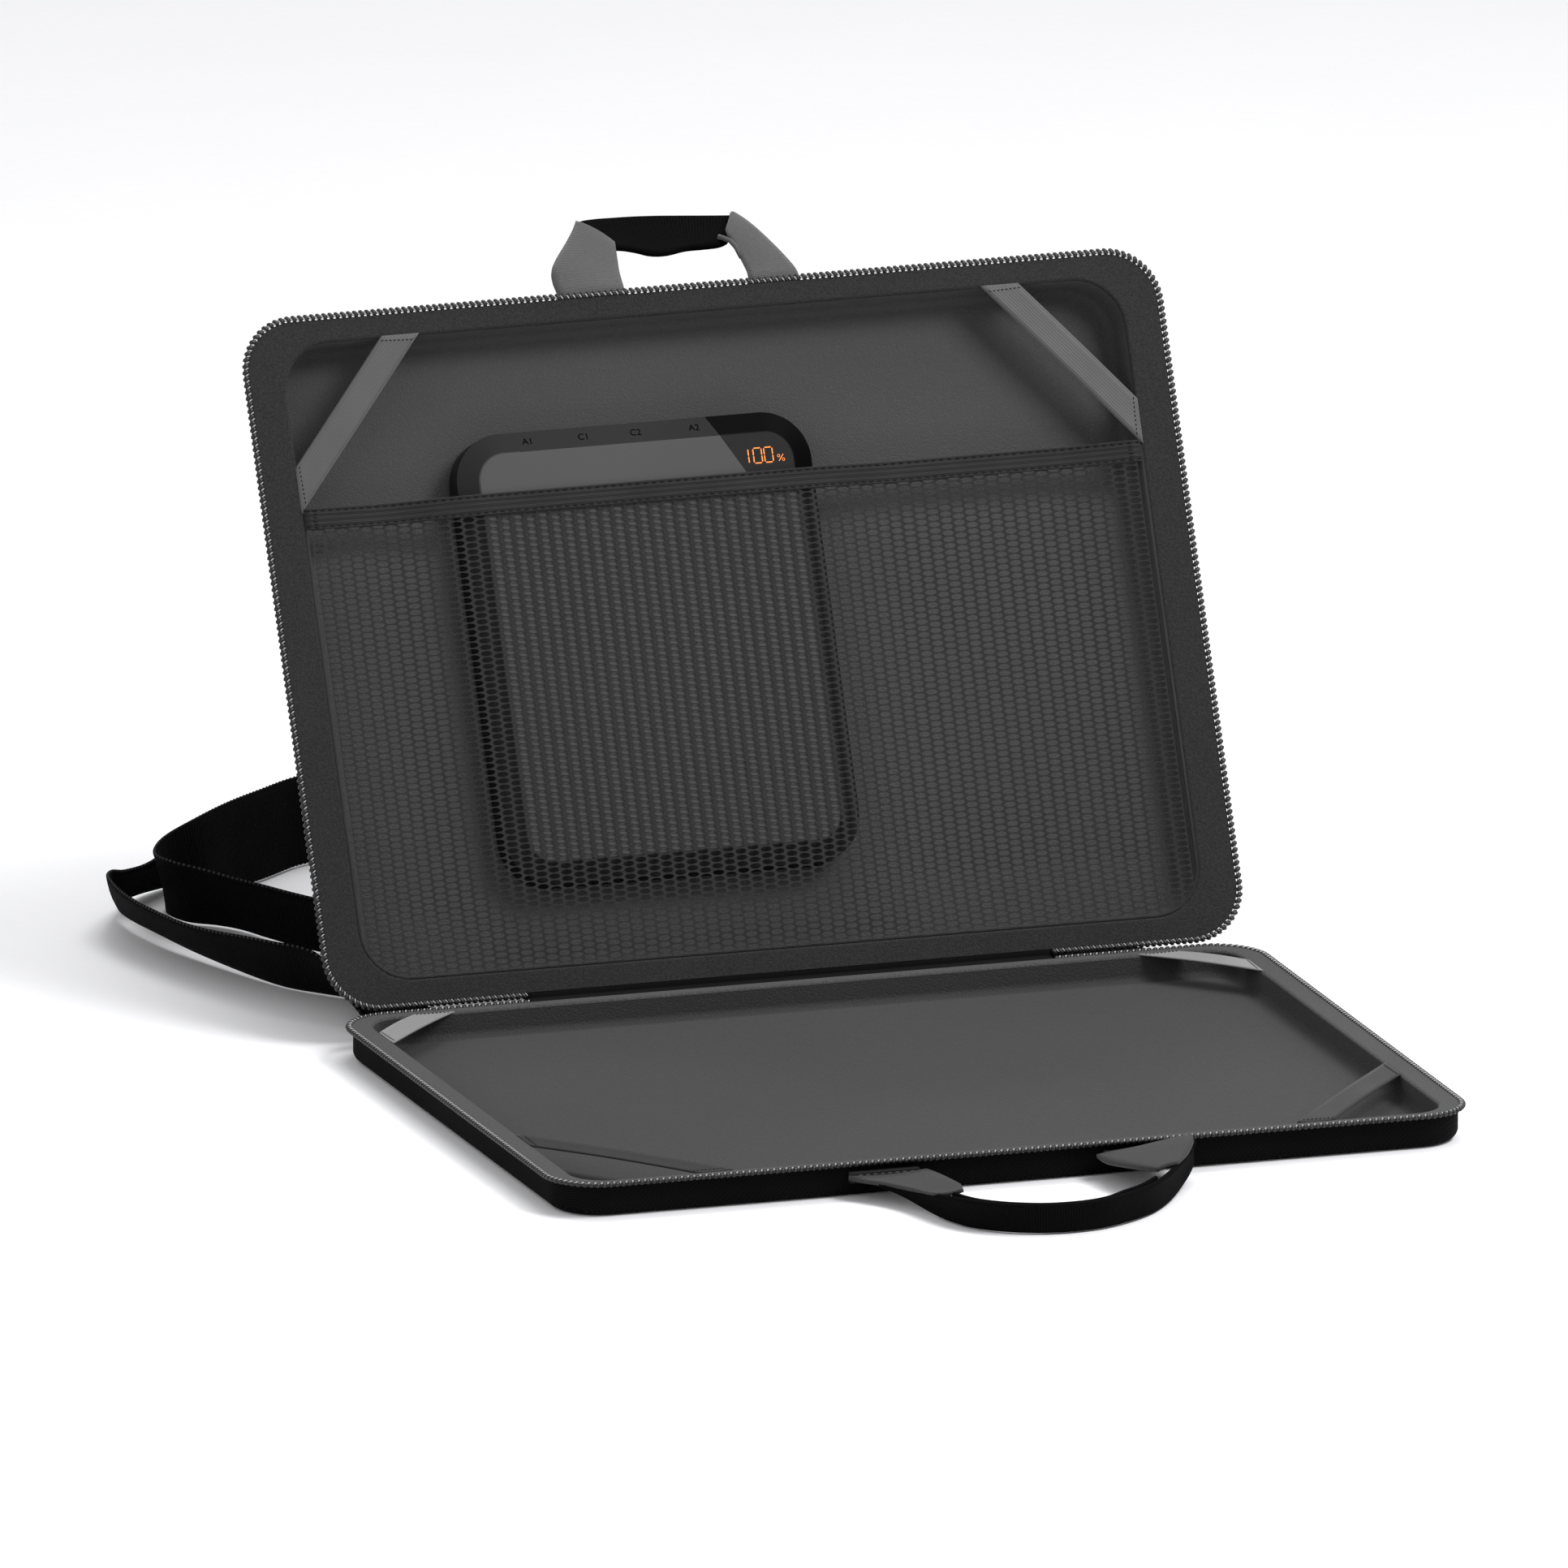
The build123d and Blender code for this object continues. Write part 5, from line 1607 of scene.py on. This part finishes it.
@dataclass
class PowerBank:
    """The energy store's cases, sockets, window, numerals and socket labels."""

    case: CaseFrame
    nodes: dict[str, bpy.types.Object]
    labels: tuple[str, ...] = ("A1", "C1", "C2", "A2")
    centres: tuple[float, ...] = (-78.6, -54.9, -32.9, -8.1)
    label_rise: float = 225.7
    label_depth: float = 3.76
    label_high: float = 2.9
    label_tilt: float = math.radians(-20.1)
    digit: tuple[float, float, float] = (3.5, 6.1, 0.46)
    face_depth: float = 2.04

    def bar(self, made: bmesh.types.BMesh, one: tuple[float, float], two: tuple[float, float], wide: float) -> None:
        """Adds one stroke with pointed ends, flat on the window.

        Args:
            made: the mesh it is added to.
            one: one end, across and up the lid, in millimetres.
            two: the other end.
            wide: the stroke's width.
        """
        a, b = Vector((*one, 0)), Vector((*two, 0))
        along = (b - a).normalized() * (wide / 2)
        aside = Vector((-along.y, along.x, 0))
        corners = (a, a + along - aside, b - along - aside, b, b - along + aside, a + along + aside)
        made.faces.new([made.verts.new(self.case.on_lid(p.x * MM, p.y * MM, self.face_depth * MM)) for p in corners])

    def numerals(self) -> bpy.types.Object:
        """The lit numerals: one, zero, zero and a small per cent sign."""
        made = bmesh.new()
        wide, high, stroke = self.digit
        low = 209.0
        gap = stroke * 0.62

        def uprights(x: float) -> None:
            """Two strokes, one above the other."""
            self.bar(made, (x, low + gap), (x, low + high / 2 - gap / 3), stroke)
            self.bar(made, (x, low + high / 2 + gap / 3), (x, low + high - gap), stroke)

        uprights(12.6)
        for left in (14.7, 19.3):
            uprights(left)
            uprights(left + wide)
            for level in (low, low + high):
                self.bar(made, (left + gap, level), (left + wide - gap, level), stroke)
        self.bar(made, (25.1, low + 0.1), (27.2, low + 2.9), 0.32)
        for x, v in ((25.2, low + 2.3), (27.1, low + 0.7)):
            ring = [(x + 0.5 * math.cos(k * math.pi / 4), v + 0.6 * math.sin(k * math.pi / 4)) for k in range(9)]
            for one, two in zip(ring, ring[1:]):
                self.bar(made, one, two, 0.3)
        mesh = bpy.data.meshes.new("lit_numerals")
        made.to_mesh(mesh)
        made.free()
        return new_object("lit_numerals", mesh)

    def label(self, text: str, x: float) -> bpy.types.Object:
        """One socket label, printed on the strip.

        Args:
            text: the label.
            x: its middle across the lid, in millimetres.

        Returns:
            The label as thin mesh.
        """
        words = bpy.data.curves.new("label_" + text, "FONT")
        words.body = text
        words.size = self.label_high * 1.38 * MM
        words.align_x = "CENTER"
        words.align_y = "CENTER"
        words.extrude = 0.00003
        holder = bpy.data.objects.new("label_" + text, words)
        bpy.context.scene.collection.objects.link(holder)
        view = bpy.context.evaluated_depsgraph_get()
        mesh = bpy.data.meshes.new_from_object(holder.evaluated_get(view))
        bpy.data.objects.remove(holder)
        inward = -self.case.out
        side = self.case.up.cross(inward).normalized()
        turn = Matrix((side, self.case.up, inward)).transposed().to_4x4()
        tilt = Matrix.Rotation(self.label_tilt, 4, "X")
        spot = self.case.on_lid(x * MM, self.label_rise * MM, self.label_depth * MM)
        mesh.transform(Matrix.Translation(spot) @ turn @ tilt)
        made = new_object("socket_label_" + text, mesh)
        dress(made, LABEL_INK)
        return made

    def build(self) -> None:
        """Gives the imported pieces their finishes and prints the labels."""
        for node, finish in (
            ("bank_back", BANK_CASE), ("bank_port_strip", BANK_STRIP), ("bank_sockets_wide", PLATED),
            ("bank_sockets_narrow", PLATED),
            ("bank_cells", POUCH_FOIL), ("bank_board", BOARD_GREEN),
        ):
            dress(self.nodes[node], finish)
        level = self.case.hinge.dot(self.case.out) + 0.00225
        out = tuple(self.case.out)
        for node, material in (
            ("bank_front", LinedFinish("Store front and slope", BANK_FACE, BANK_SLOPE, out, level).material()),
            ("bank_corner_panel", LinedFinish("Window and slope", GLOSS_FLAT, GLOSS_SLOPE, out, level).material()),
        ):
            mesh = self.nodes[node].data
            mesh.materials.clear()
            mesh.materials.append(material)
        numerals = self.numerals()
        numerals.data.materials.append(LitFinish.material())
        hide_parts("bank_display")
        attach(numerals, Body.BANK.value)
        for text, x in zip(self.labels, self.centres):
            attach(self.label(text, x), Body.BANK.value)


@dataclass
class SolarPanel:
    """The panel on the lid's outer face."""

    case: CaseFrame
    nodes: dict[str, bpy.types.Object]
    width: float = 0.342
    depth: float = 0.238
    corner: float = 0.012
    stitch_inset: float = 0.0062
    surface: float = 0.02285 + 0.00092

    def border_line(self, inset: float) -> list[Vector]:
        """A closed line round the bound border."""
        half_w, half_d, radius = self.width / 2 - inset, self.depth / 2 - inset, self.corner - inset * 0.8
        points = []
        for cx, cy, start in ((1, 1, 90), (1, -1, 0), (-1, -1, -90), (-1, 1, -180)):
            for k in range(7):
                turn = math.radians(start - 15 * k)
                points.append((cx * (half_w - radius) + radius * math.cos(turn),
                               cy * (half_d - radius) + radius * math.sin(turn)))
        points.append(points[0])
        middle = self.case.depth / 2
        return [self.case.on_lid(x, middle - y, self.surface) for x, y in points]

    def build(self) -> None:
        """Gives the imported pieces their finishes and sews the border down."""
        dress(self.nodes["pv_backing"], PV_LAMINATE)
        dress(self.nodes["pv_border"], BORDER_CLOTH)
        dress(self.nodes["pv_junction_box"], BANK_CASE)
        dress(self.nodes["pv_output_socket"], PLATED)
        for node, material in (("pv_cells", CellFinish.material(self.case)), ("pv_film", FilmFinish.material())):
            mesh = self.nodes[node].data
            mesh.materials.clear()
            mesh.materials.append(material)
        rows = [edge_stitches(f"panel_sew_{k}", self.border_line(inset), self.case.out, STITCH_GREY, 0.0036)
                for k, inset in enumerate((0.0016, self.stitch_inset))]
        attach(join("panel_border_stitching", rows), Body.LID.value)


@dataclass
class Hardware:
    """Zip sliders, pulls and rings."""

    nodes: dict[str, bpy.types.Object]

    def build(self) -> None:
        """Gives the metal pieces their finish."""
        for part in ("zip_slider_", "zip_pull_", "d_ring_"):
            for side in ("left", "right"):
                dress(self.nodes[part + side], METAL_BLACK)


# ---------------------------------------------------------------- studio


@dataclass
class Studio:
    """Pale floor, soft light and the camera."""

    centre: Vector = field(default_factory=lambda: Vector((0.0037, 0.1615, 0.0895)))
    right: Vector = field(default_factory=lambda: Vector((0.94553208, -0.32549548, 0.00466618)))
    up: Vector = field(default_factory=lambda: Vector((0.07878063, 0.24271095, 0.96689452)))
    back: Vector = field(default_factory=lambda: Vector((-0.31585232, -0.91386218, 0.25513373)))
    span: float = 0.6281
    floor_gap: float = 0.0002

    def floor(self) -> None:
        """Adds the pale floor."""
        made = bmesh.new()
        bmesh.ops.create_grid(made, x_segments=2, y_segments=2, size=6.0)
        mesh = bpy.data.meshes.new("floor")
        made.to_mesh(mesh)
        made.free()
        mesh.transform(Matrix.Translation((0, 0, -self.floor_gap)))
        plane = new_object("floor", mesh)
        dress(plane, FLOOR_WHITE)

    def light(self, name: str, place: tuple[float, float, float], size: float, power: float) -> None:
        """Adds one square soft light aimed at the case.

        Args:
            name: the light's name.
            place: where it stands.
            size: its side.
            power: its power in watts.
        """
        lamp = bpy.data.lights.new(name, "AREA")
        lamp.size = size
        lamp.energy = power
        holder = bpy.data.objects.new(name, lamp)
        bpy.context.scene.collection.objects.link(holder)
        holder.location = place
        holder.rotation_mode = "QUATERNION"
        holder.rotation_quaternion = (Vector(place) - Vector((0, 0.08, 0.08))).to_track_quat("Z", "Y")

    def build(self) -> None:
        """Builds the floor, the lights, the surroundings and the camera."""
        self.floor()
        self.light("key", (1.0, -0.8, 1.7), 0.8, 34.0)
        self.light("fill", (-1.5, -0.9, 1.0), 1.2, 5.0)
        self.light("top", (0.3, 0.5, 1.9), 1.0, 15.0)
        world = bpy.data.worlds.new("Surroundings")
        world.use_nodes = True
        world.node_tree.nodes["Background"].inputs[0].default_value = (1.0, 1.0, 1.0, 1.0)
        world.node_tree.nodes["Background"].inputs[1].default_value = 0.7
        bpy.context.scene.world = world
        bpy.context.scene.view_settings.view_transform = "Standard"
        data = bpy.data.cameras.new("camera")
        data.type = "ORTHO"
        data.ortho_scale = self.span
        data.clip_start, data.clip_end = 0.05, 12.0
        eye = bpy.data.objects.new("camera", data)
        bpy.context.scene.collection.objects.link(eye)
        turn = Matrix((self.right, self.up, self.back)).transposed().to_4x4()
        eye.matrix_world = Matrix.Translation(self.centre + self.back * 2.0) @ turn
        bpy.context.scene.camera = eye


def main() -> None:
    """Builds every sub-assembly in order."""
    logging.basicConfig(level=logging.INFO, format="%(message)s")
    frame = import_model()
    case = CaseFrame.read(frame)
    nodes = frame["nodes"]
    builders: list[tuple[str, Callable[[], object]]] = [
        ("shells and linings", CaseShells(case, nodes).build),
        ("tray zip", ZipRow(case, lid=False).build),
        ("lid zip", ZipRow(case, lid=True).build),
        ("spine gusset", SpineGusset(case).build),
        ("corner bands", CornerBands(case).build),
        ("mesh pocket", MeshPocket(case).build),
        ("power bank", PowerBank(case, nodes).build),
        ("solar panel", SolarPanel(case, nodes).build),
        ("lid handle", LidHandle(case).build),
        ("tray handle", TrayHandle(case).build),
        ("shoulder strap", ShoulderStrap(case).build),
        ("hardware", Hardware(nodes).build),
        ("studio", Studio().build),
    ]
    for name, build in builders:
        build()
        LOG.info("built %s", name)


if __name__ == "__main__":
    main()
